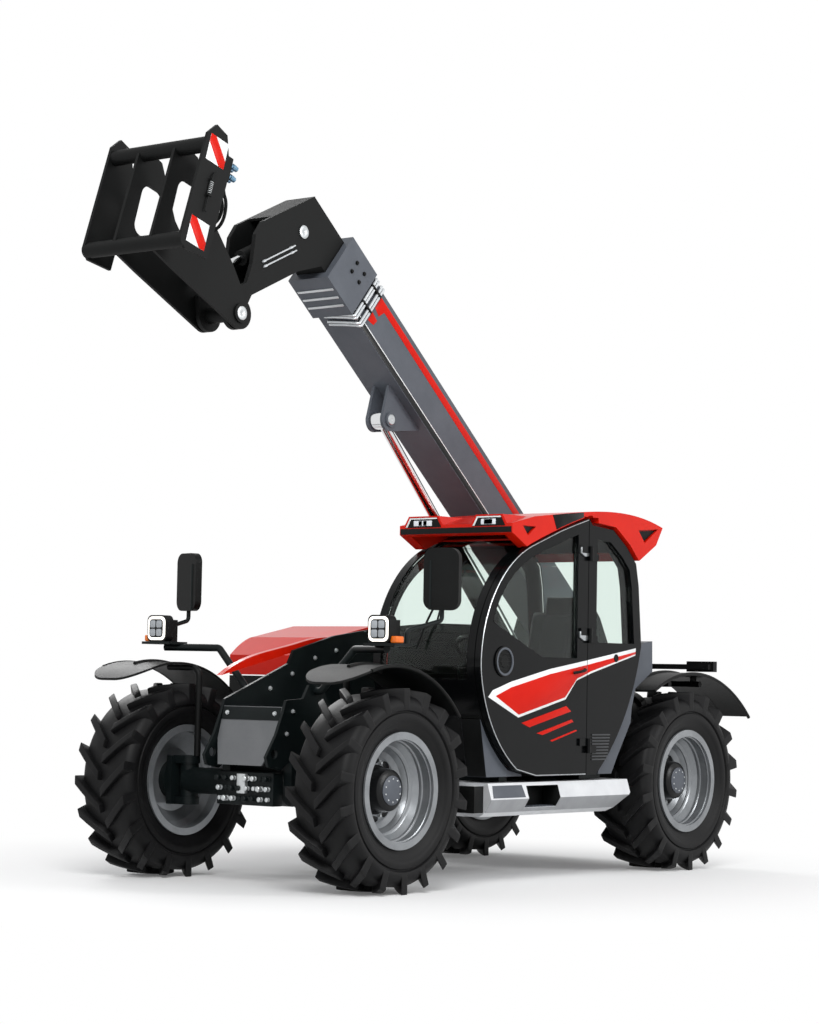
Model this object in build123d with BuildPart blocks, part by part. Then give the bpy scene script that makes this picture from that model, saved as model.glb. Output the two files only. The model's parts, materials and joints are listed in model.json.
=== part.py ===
from build123d import *
from math import atan2, cos, degrees, hypot, pi, radians, sin, sqrt
import os

os.makedirs("parts", exist_ok=True)

# Driving dimensions, in millimetres and degrees.
# The front of the machine points to -Y, its left side to +X, and it stands on z = 0.
wheelbase = 3000
track = 1660
mid_y = 287
tyre_radius = 580
tyre_width = 400
tyre_clearance = 0.3
tyre_sides = 24
lug_count = 18
lug_height = 38
lug_width = 48
lug_length = 235
lug_turn = 42
rim_seat_radius = 305
rim_lip = 27
rim_width = 340
rim_wall = 14
rim_disc_inset = 30
rim_disc_wall = 16
hub_radius = 118
hub_length = 120
kingpin_offset = 190
spin_clearance = 0.5

frame_gap = 460
frame_plate = 20
frame_low_z = 450
frame_mid_z = 630
frame_axle_z = 720
tail_bar_z = 1310
nose_reach = 145

boom_angle = 40
pivot_y = 1420
pivot_z = 1620
pivot_pin_radius = 45
boom_width = 270
boom_wall = 12
boom_bottom = -170
boom_top = 145
boom_length = 3280
boom_tail = 190
inner_clearance = 12
inner_wall = 10
inner_start = 600
pad_clearance = 0.3
collar_length = 270
neck_turn = -65.6
neck_reach = 410
neck_depth = 365
neck_cheek = 28
tilt_pin_radius = 28

carriage_u = 953
carriage_v = -421
carriage_lean = 16
carriage_half_width = 385
carriage_plate = 20
carriage_bar_radius = 45
carriage_gap = 15

lift_eye_a = 2255
lift_eye_n = -330
lift_eye_radius = 58
lift_base_y = 1200
lift_base_z = 1060
lift_barrel_radius = 65
lift_rod_radius = 33
tilt_trunnion_u = 189
tilt_trunnion_v = -165
tilt_eye_u = 975
tilt_eye_v = -170
tilt_barrel_radius = 46
tilt_rod_radius = 25
rod_clearance = 0.5

cab_right = 205
cab_left = 970
cab_wall = 55
cab_floor_z = 640
door_gap = 6
door_thickness = 40
door_split_y = 300
belt_z = 1215
door_sill_z = 1357
quarter_sill_z = 1460
door_rail = 72
door_post = 110
glass_thickness = 6
glass_clearance = 0.3
roof_gap = 7

hood_right = -985
hood_left = -275
cowl_clearance = 135
hood_rear = 760
hood_wall = 22
hood_gap = 6

axle_half = wheelbase / 2
nose_front = -axle_half - nose_reach
hood_front = -axle_half + tyre_radius + cowl_clearance
rim_flange_radius = rim_seat_radius + rim_lip
neck_start = boom_length + neck_reach
frame_inner = frame_gap / 2
frame_outer = frame_inner + frame_plate
kingpin_x = track / 2 - kingpin_offset


# Planes and small shapes used by several pieces.
def side(x):
    """Side view at x: the sketch reads (y from mid-wheelbase, z) and extrudes to the left."""
    return Plane(origin=(x, mid_y, 0), x_dir=(0, 1, 0), z_dir=(1, 0, 0))


def tilted(x, y, z, angle):
    """Side view whose sketch x points forward and up by the angle; it extrudes to the right."""
    forward = (0, -cos(radians(angle)), sin(radians(angle)))
    return Plane(origin=(x, mid_y + y, z), x_dir=forward, z_dir=(-1, 0, 0))


def on_boom(a, n):
    """Place (y, z) of a point given along the boom and square to it."""
    c, s = cos(radians(boom_angle)), sin(radians(boom_angle))
    return pivot_y - a * c + n * s, pivot_z + a * s + n * c


def on_neck(u, v):
    """Place (y, z) of a point given along the goose neck and square to it."""
    c, s = cos(radians(neck_turn)), sin(radians(neck_turn))
    inner_top = boom_top - boom_wall - inner_clearance
    return on_boom(neck_start + u * c - v * s, inner_top + u * s + v * c)


def boom_plane(x):
    return tilted(x, pivot_y, pivot_z, boom_angle)


def neck_plane(x):
    return tilted(x, *on_neck(0, 0), boom_angle + neck_turn)


def carriage_plane(x):
    return tilted(x, *on_neck(carriage_u, carriage_v), carriage_lean)


def link_plane(start, end):
    """Round section at a pin, looking along the line to the other pin."""
    line = Vector(0, end[0] - start[0], end[1] - start[1])
    return Plane(origin=(0, mid_y + start[0], start[1]), x_dir=(1, 0, 0), z_dir=line)


def block(x, y, z, mode=Mode.ADD):
    """Adds or cuts a rectangular block between limits, with y from mid-wheelbase."""
    with Locations((sum(x) / 2, mid_y + sum(y) / 2, sum(z) / 2)):
        Box(x[1] - x[0], y[1] - y[0], z[1] - z[0], mode=mode)


def cross_pin(y, z, radius, x_from, x_to, mode=Mode.ADD):
    """Adds or cuts a round pin across the machine, with y from mid-wheelbase."""
    with BuildSketch(side(x_from)) as end_face:
        with Locations((y, z)):
            Circle(radius)
    extrude(end_face.sketch, amount=x_to - x_from, mode=mode)


def finish(piece, name):
    piece.label = name
    export_step(piece, f"parts/{name}.step")


lift_base = (lift_base_y, lift_base_z)
lift_eye = on_boom(lift_eye_a, lift_eye_n)
tilt_base = on_neck(tilt_trunnion_u, tilt_trunnion_v)
tilt_eye = on_neck(tilt_eye_u, tilt_eye_v)
carriage_pivot = on_neck(carriage_u, carriage_v)

# Two long frame plates, cranked over both axles and carried up to the nose and to the boom tower.
# The right plate rises beside the hood, and the left one stays low in front of the cab.
nose_edge = (
    (nose_front, 1075),
    (nose_front - 25, 1003),
    (nose_front - 82, 875),
    (nose_front - 167, 748),
    (nose_front - 145, 691),
    (nose_front - 40, 670),
)
tow_eye = (nose_front - 98, 765)
arm_y = -axle_half + 115
arm_foot_z = 1130
left_top = (
    (-840, frame_mid_z),
    (-900, 960),
    (arm_y + 110, 1060),
    (arm_y + 60, arm_foot_z + 35),
    (arm_y - 60, arm_foot_z + 35),
    (arm_y - 110, 1085),
)
right_top = (
    (-170, frame_mid_z),
    (-200, 1500),
    (-298, 1520),
    (-656, 1470),
    (-1037, 1373),
    (-1083, 1292),
)
with BuildPart() as frame_plates:
    for x, top_edge in ((-frame_outer, right_top), (frame_inner, left_top)):
        with BuildSketch(side(x)):
            with BuildLine():
                Polyline(
                    *nose_edge,
                    (-axle_half - 110, frame_axle_z),
                    (-axle_half + 260, frame_axle_z),
                    (-axle_half + 420, frame_low_z),
                    (axle_half - 420, frame_low_z),
                    (axle_half - 260, frame_axle_z),
                    (axle_half + 280, frame_axle_z),
                    (axle_half + 450, frame_axle_z - 90),
                    (axle_half + 450, 1150),
                    (axle_half + 330, tail_bar_z + 35),
                    (axle_half + 240, tail_bar_z + 35),
                    (pivot_y + 140, pivot_z + 30),
                    (pivot_y + 60, pivot_z + 110),
                    (pivot_y - 40, pivot_z + 110),
                    (pivot_y - 110, pivot_z + 60),
                    (1080, 1180),
                    (960, frame_mid_z),
                    *top_edge,
                    close=True,
                )
            make_face()
            with Locations((pivot_y, pivot_z)):
                Circle(pivot_pin_radius, mode=Mode.SUBTRACT)
            with Locations(tow_eye):
                Circle(28, mode=Mode.SUBTRACT)
        extrude(amount=frame_plate)
finish(frame_plates.part, "frame_plates")

# Cross members between the plates, the lift cylinder's lugs and the outriggers under the cab.
lift_lug = 22
lift_lug_gap = 92
with BuildPart() as cross_members:
    block((-frame_inner, frame_inner), (-axle_half + 430, axle_half - 430), (frame_low_z, frame_low_z + 20))
    block((-frame_inner, frame_inner), (nose_front + 25, nose_front + 55), (frame_axle_z + 20, 930))
    block((-frame_inner, frame_inner), (axle_half + 415, axle_half + 450), (frame_axle_z - 80, 1090))
    for x in (-lift_lug_gap / 2 - lift_lug, lift_lug_gap / 2):
        with BuildSketch(side(x)):
            with BuildLine():
                Polyline(
                    (lift_base_y - 260, frame_low_z + 10),
                    (lift_base_y - 75, lift_base_z + 20),
                    (lift_base_y + 75, lift_base_z + 20),
                    (lift_base_y - 30, frame_low_z + 10),
                    close=True,
                )
            make_face()
            with Locations((lift_base_y, lift_base_z)):
                Circle(75)
                Circle(pivot_pin_radius, mode=Mode.SUBTRACT)
        extrude(amount=lift_lug)
    for y in ((-460, -380), (380, 610)):
        block((frame_outer, cab_left - 60), y, (cab_floor_z - 30, cab_floor_z))
finish(cross_members.part, "cross_members")

# Pins that stay with the chassis: the boom pivot and the foot of the lift cylinder.
pin_head = 12
with BuildPart() as chassis_pins:
    cross_pin(pivot_y, pivot_z, pivot_pin_radius, -frame_outer, frame_outer)
    for x in (-frame_outer - pin_head, frame_outer):
        cross_pin(pivot_y, pivot_z, pivot_pin_radius + 20, x, x + pin_head)
    lug_face = lift_lug_gap / 2 + lift_lug
    cross_pin(lift_base_y, lift_base_z, pivot_pin_radius, -lug_face, lug_face)
    for x in (-lug_face - pin_head, lug_face):
        cross_pin(lift_base_y, lift_base_z, pivot_pin_radius + 15, x, x + pin_head)
finish(chassis_pins.part, "chassis_pins")

# Folded front cover between the nose plates, narrowed towards its lower edge.
cover_half = frame_inner - 2
cover_crease_z = 845
cover_low_z = 695
with BuildPart() as nose_cover:
    with BuildSketch(side(-cover_half)):
        with BuildLine():
            Polyline(
                (nose_front + 25, 1035),
                (nose_front - 10, 1035),
                (nose_front - 30, 955),
                (nose_front - 60, cover_crease_z),
                (nose_front - 118, cover_low_z),
                (nose_front - 106, cover_low_z),
                (nose_front - 48, cover_crease_z),
                (nose_front - 10, 900),
                (nose_front + 25, 900),
                close=True,
            )
        make_face()
    extrude(amount=2 * cover_half)
    with BuildSketch(Plane.XZ.offset(-mid_y)):
        for way in (-1, 1):
            with BuildLine():
                Polyline(
                    (way * cover_half, cover_crease_z),
                    (way * (cover_half - 60), cover_low_z - 5),
                    (way * (cover_half + 5), cover_low_z - 5),
                    close=True,
                )
            make_face()
    extrude(amount=2500, mode=Mode.SUBTRACT)
finish(nose_cover.part, "nose_cover")

# Rear tow jaw with its vertical pin bore.
hitch_bore_radius = 16
hitch_y = axle_half + 560
with BuildPart() as rear_hitch:
    for z in (640, 760):
        block((-60, 60), (axle_half + 450, hitch_y), (z, z + 30))
        with Locations((0, mid_y + hitch_y, z + 15)):
            Cylinder(60, 30)
    block((-100, 100), (axle_half + 450, axle_half + 470), (frame_axle_z - 90, 860))
    with Locations((0, mid_y + hitch_y, 715)):
        Cylinder(hitch_bore_radius, 200, mode=Mode.SUBTRACT)
finish(rear_hitch.part, "rear_hitch")


# Axle housing: a tapered beam with a differential bulge and two upright kingpin bosses.
kingpin_boss_radius = 55
kingpin_boss_height = 200
axle_z = tyre_radius


def axle(station):
    with BuildPart() as housing:
        with BuildSketch(Plane(origin=(0, mid_y + station, axle_z), x_dir=(0, 0, 1), z_dir=(0, 1, 0))):
            with BuildLine():
                Polyline(
                    (0, -kingpin_x),
                    (78, -kingpin_x),
                    (78, -260),
                    (125, -190),
                    (125, 190),
                    (78, 260),
                    (78, kingpin_x),
                    (0, kingpin_x),
                    close=True,
                )
            make_face()
        revolve(axis=Axis((0, mid_y + station, axle_z), (1, 0, 0)))
        for x in (-kingpin_x, kingpin_x):
            with Locations((x, mid_y + station, axle_z)):
                Cylinder(kingpin_boss_radius, kingpin_boss_height)
        for x in (-frame_outer - 20, frame_inner - 20):
            block((x, x + frame_plate + 40), (station - 110, station + 110), (axle_z, frame_axle_z))
    return housing.part


finish(axle(-axle_half), "front_axle")
finish(axle(axle_half), "rear_axle")


# Steering knuckle: two arms over the kingpin boss, a web and the flange that carries the hub.
hub_face = track / 2 - rim_disc_inset - rim_disc_wall - spin_clearance


def knuckle(way, station):
    arm_z = kingpin_boss_height / 2 + spin_clearance
    arm = 45
    web_x = kingpin_x + kingpin_boss_radius + 10
    with BuildPart() as upright:
        for z in (axle_z + arm_z, axle_z - arm_z - arm):
            with BuildSketch(Plane.XY.offset(z)):
                with Locations((way * kingpin_x, mid_y + station)):
                    Circle(kingpin_boss_radius + 8)
                with Locations((way * (kingpin_x + web_x) / 2, mid_y + station)):
                    Rectangle(web_x - kingpin_x, 2 * kingpin_boss_radius + 16)
            extrude(amount=arm)
        low, high = sorted((way * web_x, way * (web_x + 40)))
        block((low, high), (station - 90, station + 90), (axle_z - arm_z - arm, axle_z + arm_z + arm))
        low, high = sorted((way * (web_x + 40), way * hub_face))
        cross_pin(station, axle_z, hub_radius, low, high)
    return upright.part


# Wheel: a deep dished rim with its hub, and the tyre seated between the rim flanges.
def rim(way, station):
    half = rim_width / 2
    drop = rim_seat_radius - 40
    with BuildPart() as wheel:
        with BuildSketch(Plane(origin=(way * track / 2, mid_y + station, axle_z),
                               x_dir=(way, 0, 0), z_dir=(0, -way, 0))):
            with BuildLine():
                Polyline(
                    (-half, rim_flange_radius),
                    (-half + 12, rim_flange_radius),
                    (-half + 12, rim_seat_radius),
                    (-half + 70, rim_seat_radius),
                    (-half + 95, drop),
                    (20, drop),
                    (60, rim_seat_radius),
                    (half - 12, rim_seat_radius),
                    (half - 12, rim_flange_radius),
                    (half, rim_flange_radius),
                    (half, rim_seat_radius - rim_wall),
                    (70, rim_seat_radius - rim_wall),
                    (30, drop - rim_wall),
                    (-rim_disc_inset + 20, drop - rim_wall - 30),
                    (-rim_disc_inset, drop - rim_wall - 60),
                    (-rim_disc_inset, hub_radius),
                    (hub_length - rim_disc_inset - 40, hub_radius - 8),
                    (hub_length - rim_disc_inset - 10, hub_radius - 45),
                    (hub_length - rim_disc_inset, hub_radius - 55),
                    (hub_length - rim_disc_inset, 0),
                    (-rim_disc_inset - rim_disc_wall, 0),
                    (-rim_disc_inset - rim_disc_wall, drop - rim_wall - 60),
                    (-half + 95, drop - rim_wall),
                    (-half + 65, rim_seat_radius - rim_wall),
                    (-half, rim_seat_radius - rim_wall),
                    close=True,
                )
            make_face()
        revolve(axis=Axis((0, mid_y + station, axle_z), (1, 0, 0)))
    return wheel.part


def tyre_ring(x, radius):
    """A many-sided section of the tyre, at x from its middle plane."""
    with BuildSketch(Plane.YZ.offset(x)) as section:
        RegularPolygon(radius, tyre_sides)
    return section.sketch


# One tyre: a casing with flat facets, and two rows of slanted lugs in arrows that point down at the front.
tyre_bead = rim_width / 2 - 12 - tyre_clearance
tyre_half = tyre_width / 2
tyre_crown = tyre_radius - lug_height
tyre_bore = (rim_seat_radius + tyre_clearance) / cos(pi / tyre_sides)
tyre_profile = ((tyre_half, tyre_crown - 70), (tyre_half - 40, tyre_crown))
lug_slant = radians(lug_turn)
lug_reach = lug_length / 2 * sin(lug_slant) + lug_width / 2 * cos(lug_slant)
lug_top = sqrt(tyre_radius**2 - lug_reach**2)
lug_foot = tyre_crown - 75
lug_middle = tyre_half - 1 - lug_length / 2 * cos(lug_slant) - lug_width / 2 * sin(lug_slant)
lug_places = []
for hand in (-1, 1):
    for i in range(lug_count):
        turn = 2 * pi * (i + hand / 4 - 1 / 4) / lug_count - atan2(lug_reach, lug_top)
        outward = Vector(0, -sin(turn), -cos(turn))
        along = Vector(hand * cos(lug_slant), -sin(lug_slant) * cos(turn), sin(lug_slant) * sin(turn))
        middle = Vector(hand * lug_middle, 0, 0) + outward * ((lug_top + lug_foot) / 2)
        lug_places.append(Plane(origin=middle, x_dir=along, z_dir=outward))
with BuildPart() as tyre:
    left_half = [tyre_ring(x, radius) for x, radius in reversed(tyre_profile)]
    right_half = [tyre_ring(-x, radius) for x, radius in tyre_profile]
    loft(right_half + left_half, ruled=True)
    for hand in (-1, 1):
        seat_ring = tyre_ring(hand * tyre_bead, rim_flange_radius + 4)
        wall_ring = tyre_ring(hand * tyre_half, tyre_crown - 110)
        loft([seat_ring, wall_ring], ruled=True, mode=Mode.SUBTRACT)
    extrude(tyre_ring(-tyre_half, tyre_bore), amount=tyre_width, mode=Mode.SUBTRACT)
    with Locations(*lug_places):
        Box(lug_length, lug_width, lug_top - lug_foot)


# Front fender: a curved leaf over the tyre on a bent tube from the knuckle.
fender_wall = 14
fender_rise = 125
fender_round = 170
fender_trim = 5
post_radius = 20


def fender_leaf(points, x_from, x_to):
    """Adds a curved leaf along three points given from the axle, wide from x to x."""
    start, top, end = points
    with BuildSketch(side(x_from)) as section:
        with BuildLine():
            outer = ThreePointArc(start, top, end)
            inner = ThreePointArc(
                (start[0], start[1] - fender_wall),
                (top[0], top[1] - fender_wall),
                (end[0] - fender_wall, end[1]),
            )
            Line(outer @ 0, inner @ 0)
            Line(outer @ 1, inner @ 1)
        make_face()
    extrude(section.sketch, amount=x_to - x_from)


def fender_tip(points, x_from, x_to):
    """Trims a leaf to its width and rounds its front corners, as seen from above."""
    front = mid_y + points[0][0] + fender_trim
    length = 2 * tyre_radius + 2 * fender_round
    with BuildSketch(Plane.XY.offset(axle_z)) as plan:
        with Locations(((x_from + x_to) / 2, front + length / 2)):
            RectangleRounded(x_to - x_from, length, fender_round)
    extrude(plan.sketch, amount=2 * tyre_radius, mode=Mode.INTERSECT)


def front_fender(way):
    station = -axle_half
    top = axle_z + tyre_radius + fender_rise
    leaf = (
        (station - tyre_radius + 60, axle_z + tyre_radius + 22),
        (station - 60, top),
        (station + tyre_radius - 120, axle_z + tyre_radius - 155),
    )
    inside = track / 2 - tyre_width / 2
    low, high = sorted((way * (inside - 10), way * (inside + tyre_width + 20)))
    post_x = inside - 50
    knuckle_top = axle_z + kingpin_boss_height / 2 + spin_clearance + 45
    with BuildPart() as fender:
        fender_leaf(leaf, low - fender_trim, high + fender_trim)
        fender_tip(leaf, low, high)
        with BuildLine() as post_line:
            FilletPolyline(
                (way * post_x, mid_y + station, knuckle_top),
                (way * post_x, mid_y + station, top - fender_wall - post_radius + 6),
                (way * track / 2, mid_y + station, top - fender_wall - post_radius + 6),
                radius=60,
            )
        with BuildSketch(Plane(origin=post_line.line @ 0, z_dir=(0, 0, 1))):
            Circle(post_radius)
        sweep(path=post_line.line)
    return fender.part


sides = (("left", 1), ("right", -1))
for place, station in (("front", -axle_half), ("rear", axle_half)):
    for hand, way in sides:
        finish(knuckle(way, station), f"knuckle_{place}_{hand}")
        finish(rim(way, station), f"rim_{place}_{hand}")
        finish(Pos(way * track / 2, mid_y + station, axle_z) * tyre.part, f"tyre_{place}_{hand}")
for hand, way in sides:
    finish(front_fender(way), f"fender_front_{hand}")

# Rear fenders, fixed to the frame by cross tubes behind the tower.
with BuildPart() as rear_fenders:
    station = axle_half
    top = axle_z + tyre_radius + fender_rise
    leaf = (
        (station - tyre_radius + 100, axle_z + tyre_radius + 10),
        (station + 40, top),
        (station + tyre_radius + 110, axle_z + tyre_radius - 160),
    )
    inside = track / 2 - tyre_width / 2
    fender_leaf(leaf, inside - 10, inside + tyre_width + 20)
    fender_leaf(leaf, -inside - tyre_width - 20, -inside + 10)
    for y in (station - 180, station + 190):
        cross_pin(y, top - fender_wall - 60, post_radius, frame_outer, inside + tyre_width - 60)
        cross_pin(y, top - fender_wall - 60, post_radius, -inside - tyre_width + 60, -frame_outer)
        for x in (inside + 60, inside + tyre_width - 120):
            block((x, x + 12), (y - 30, y + 30), (top - fender_wall - 60, top - 18))
            block((-x - 12, -x), (y - 30, y + 30), (top - fender_wall - 60, top - 18))
finish(rear_fenders.part, "rear_fenders")

# Hinge barrels are alike on the hood and the door.
hinge_barrel = 14
hinge_length = 45

# Engine, as one plain block bolted to the right frame plate.
with BuildPart() as engine_block:
    block((-800, -frame_outer), (-560, 620), (520, 1130))
finish(engine_block.part, "engine_block")

# Engine cowl: side wall with its grille, front and rear walls, hung on the frame.
cowl_low = 470
cowl_top = 1215
hood_hinges = (-860, -430)
hood_hinge_y = hood_rear + 16
hood_hinge_z = cowl_top + hood_gap / 2


def hood_hinge(x, leaf_z):
    """Adds one hinge barrel to the left of x, with its leaf down or up to the height leaf_z."""
    cross_pin(hood_hinge_y, hood_hinge_z, hinge_barrel, x, x + hinge_length)
    low, high = sorted((leaf_z, hood_hinge_z))
    block((x, x + hinge_length), (hood_rear, hood_hinge_y), (low, high))


grille_places = (-420, 300)
grille_rows = 9
grille_pitch = 44
grille_slot = 20
grille_length = 480
with BuildPart() as engine_cowl:
    block((hood_right, hood_right + hood_wall), (hood_front, hood_rear), (cowl_low, cowl_top))
    block((hood_right, -frame_outer), (hood_front, hood_front + hood_wall), (cowl_low, cowl_top))
    block((hood_right, -frame_outer), (hood_rear - hood_wall, hood_rear), (cowl_low, cowl_top))
    for x in hood_hinges:
        hood_hinge(x, cowl_top - 60)
    with BuildSketch(side(hood_right)):
        for y in grille_places:
            with Locations((y, (cowl_low + cowl_top) / 2 + 60)):
                with GridLocations(0, grille_pitch, 1, grille_rows):
                    Rectangle(grille_length, grille_slot)
    extrude(amount=hood_wall, mode=Mode.SUBTRACT)
    with BuildSketch(Plane.XZ.offset(-mid_y - hood_rear)):
        with Locations(((hood_right - frame_outer) / 2, (cowl_low + cowl_top) / 2 - 20)):
            with GridLocations(0, grille_pitch, 1, grille_rows):
                Rectangle(grille_length, grille_slot)
    extrude(amount=hood_wall, mode=Mode.SUBTRACT)
finish(engine_cowl.part, "engine_cowl")

# Engine hood: a sloped lid over the cowl, hinged along its rear edge.
# A narrow tongue carries its left edge forward beside the right frame plate.
hood_shoulder = (-640, 1460)
hood_crown = (-240, 1540)
hood_back = (180, 1552)
tongue_depth = 46
tongue_crest = ((nose_front, 1213), (-1464, 1301), (-1017, 1405), (hood_front, 1452), hood_shoulder)
tongue_left = -frame_outer - 14
tongue_right = tongue_left - 42
with BuildPart() as hood:
    with BuildSketch(side(hood_right)):
        with BuildLine():
            Polyline(
                (hood_front, cowl_top + hood_gap),
                (hood_front, cowl_top + 130),
                hood_shoulder,
                hood_crown,
                hood_back,
                (hood_rear, 1490),
                (hood_rear, cowl_top + hood_gap),
                close=True,
            )
        make_face()
    extrude(amount=hood_left - hood_right)
    lid_edges = hood.edges().filter_by(GeomType.LINE).group_by(Axis.X)[0].sort_by(Axis.Z)[-3:]
    fillet(lid_edges, radius=60)
    with BuildSketch(side(hood_right + hood_wall)):
        with BuildLine():
            Polyline(
                (hood_front + hood_wall, cowl_top + hood_gap),
                (hood_front + hood_wall, cowl_top + 110),
                (hood_shoulder[0] + 10, hood_shoulder[1] - hood_wall),
                (hood_crown[0], hood_crown[1] - hood_wall),
                (hood_back[0], hood_back[1] - hood_wall),
                (hood_rear - hood_wall, 1490 - hood_wall),
                (hood_rear - hood_wall, cowl_top + hood_gap),
                close=True,
            )
        make_face()
    extrude(amount=hood_left - hood_right - 2 * hood_wall, mode=Mode.SUBTRACT)
    with BuildSketch(side(tongue_right)):
        with BuildLine():
            Spline(*tongue_crest)
            Polyline(tongue_crest[0], *[(y, z - tongue_depth) for y, z in tongue_crest[1:]], tongue_crest[-1])
        make_face()
    extrude(amount=tongue_left - tongue_right)
    for x in hood_hinges:
        hood_hinge(x + hinge_length + spin_clearance, cowl_top + 70)
finish(hood.part, "hood")


# Cab outline seen from the left, with its curved front and slanted tail.
cab_top = (door_split_y, 2228)
cab_brow = (-309, 2029)
cab_nose = (-805, 1290)
cab_tail = (905, 1450)


def cab_outline(inset=0.0):
    with BuildSketch(Plane.XY, mode=Mode.PRIVATE) as outline:
        with BuildLine():
            front = ThreePointArc(cab_nose, (-655, 1765), cab_brow)
            TangentArc(cab_brow, cab_top, tangent=front % 1)
            Polyline(cab_top, (340, 2188), (571, 2170), (726, 2070), (835, 1970), (868, 1830), cab_tail)
            ThreePointArc(cab_tail, (700, 960), (410, cab_floor_z))
            Polyline((410, cab_floor_z), (-230, cab_floor_z), (-430, cab_floor_z + 40))
            ThreePointArc((-430, cab_floor_z + 40), (-680, 930), cab_nose)
        make_face()
        if inset:
            offset(amount=-inset, mode=Mode.REPLACE)
    return outline.sketch


# Cab shell: the outline as a ring, with its right wall and its window openings cut.
with BuildPart() as cab_frame:
    with BuildSketch(side(cab_right)):
        add(cab_outline())
    extrude(amount=cab_left - cab_right)
    with BuildSketch(side(cab_right + cab_wall / 2)):
        add(cab_outline(cab_wall))
    extrude(amount=cab_left - cab_right, mode=Mode.SUBTRACT)
    with BuildSketch(side(cab_right)):
        add(cab_outline(cab_wall + 45))
        with Locations((0, belt_z / 2)):
            Rectangle(3000, belt_z, mode=Mode.SUBTRACT)
    extrude(amount=cab_wall, mode=Mode.SUBTRACT)
    with BuildSketch(Plane.XZ.offset(-mid_y)):
        with Locations(((cab_right + cab_left) / 2, 0)):
            with Locations((0, (belt_z + 2080) / 2)):
                Rectangle(cab_left - cab_right - 110, 2080 - belt_z)
    extrude(amount=1000, mode=Mode.SUBTRACT)
    with BuildSketch(Plane.XZ.offset(-mid_y)):
        with Locations(((cab_right + cab_left) / 2, (belt_z + 60 + 2040) / 2)):
            Rectangle(cab_left - cab_right - 130, 2040 - belt_z - 60)
    extrude(amount=-1000, mode=Mode.SUBTRACT)
finish(cab_frame.part, "cab_frame")

# Door hinges: barrels on one upright pin line, carried by leaves on the outer faces.
side_x = cab_left + door_gap
side_face = side_x + door_thickness
hinge_y = door_split_y + door_gap / 2
hinge_heights = (820, 1500, 2010)
hinge_stand = 3
door_hinge_x = side_face + hinge_barrel + hinge_stand


def door_hinge(low, way):
    """Adds one hinge barrel above the height low, with its leaf towards the given way in y."""
    with Locations((door_hinge_x, mid_y + hinge_y, low + hinge_length / 2)):
        Cylinder(hinge_barrel, hinge_length)
    near, far = sorted((hinge_y + way * 8, hinge_y + way * 90))
    block((side_face, door_hinge_x - 4), (near, far), (low, low + hinge_length))


# Fixed rear side of the cab, behind the door, with its window cut.
with BuildPart() as cab_side:
    with BuildSketch(side(cab_left)):
        add(cab_outline())
        with Locations((door_split_y + door_gap - 1500, 1500)):
            Rectangle(3000, 3000, mode=Mode.SUBTRACT)
    extrude(amount=door_thickness + door_gap)
    with BuildSketch(side(cab_left)):
        add(cab_outline(80))
        with Locations((door_split_y + door_gap + 90 - 1500, 1500)):
            Rectangle(3000, 3000, mode=Mode.SUBTRACT)
        with Locations((0, quarter_sill_z / 2)):
            Rectangle(3000, quarter_sill_z, mode=Mode.SUBTRACT)
    extrude(amount=door_thickness + door_gap, mode=Mode.SUBTRACT)
    for height in hinge_heights:
        door_hinge(height - hinge_length - spin_clearance, 1)
finish(cab_side.part, "cab_side")

# Door with its window cut, hinged at its rear edge. The window's sill drops from the front to the middle.
def door_window(inset):
    """The window's outline, smaller by the inset all round."""
    with BuildSketch(Plane.XY, mode=Mode.PRIVATE) as window:
        add(cab_outline(door_rail))
        with Locations((door_split_y - door_post + 1500, 1500)):
            Rectangle(3000, 3000, mode=Mode.SUBTRACT)
        with BuildLine():
            Polyline((-1000, 1700), (-640, 1540), (-180, door_sill_z), (1000, door_sill_z), (1000, 0),
                     (-1000, 0), close=True)
        make_face(mode=Mode.SUBTRACT)
        if inset:
            offset(amount=-inset, kind=Kind.INTERSECTION, mode=Mode.REPLACE)
    return window.sketch


with BuildPart() as door:
    with BuildSketch(side(side_x)):
        add(cab_outline())
        with Locations((door_split_y + 1500, 1500)):
            Rectangle(3000, 3000, mode=Mode.SUBTRACT)
    extrude(amount=door_thickness)
    with BuildSketch(side(side_x)):
        add(door_window(0))
    extrude(amount=door_thickness, mode=Mode.SUBTRACT)
    for height in hinge_heights:
        door_hinge(height, -1)
finish(door.part, "door")


# Glass panes: windscreen, right side, rear and rear quarter, each set in its opening.
def pane(x_from, x_to, inset, keep_y, keep_z):
    """A curved pane that follows the cab outline between limits."""
    with BuildPart() as glass:
        with BuildSketch(side(x_from)):
            add(cab_outline(inset))
            add(cab_outline(inset + glass_thickness), mode=Mode.SUBTRACT)
        extrude(amount=x_to - x_from)
        with Locations((0, mid_y + sum(keep_y) / 2, sum(keep_z) / 2)):
            Box(4000, keep_y[1] - keep_y[0], keep_z[1] - keep_z[0], mode=Mode.INTERSECT)
    return glass.part


reveal = 12
with BuildPart() as cab_glass:
    add(pane(cab_right + 55 + glass_clearance, cab_left - 55 - glass_clearance, reveal,
             (-1000, 0), (belt_z + glass_clearance, 2080 - glass_clearance)))
    add(pane(cab_right + 65 + glass_clearance, cab_left - 65 - glass_clearance, reveal,
             (400, 1000), (belt_z + 60 + glass_clearance, 2040 - glass_clearance)))
    with BuildSketch(side(cab_right + reveal)):
        add(cab_outline(cab_wall + 45 + glass_clearance))
        with Locations((0, (belt_z + glass_clearance) / 2)):
            Rectangle(3000, belt_z + glass_clearance, mode=Mode.SUBTRACT)
    extrude(amount=glass_thickness)
    with BuildSketch(side(cab_left + door_gap + reveal)):
        add(cab_outline(80 + glass_clearance))
        with Locations((door_split_y + door_gap + 90 + glass_clearance - 1500, 1500)):
            Rectangle(3000, 3000, mode=Mode.SUBTRACT)
        with Locations((0, (quarter_sill_z + glass_clearance) / 2)):
            Rectangle(3000, quarter_sill_z + glass_clearance, mode=Mode.SUBTRACT)
    extrude(amount=glass_thickness)
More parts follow.
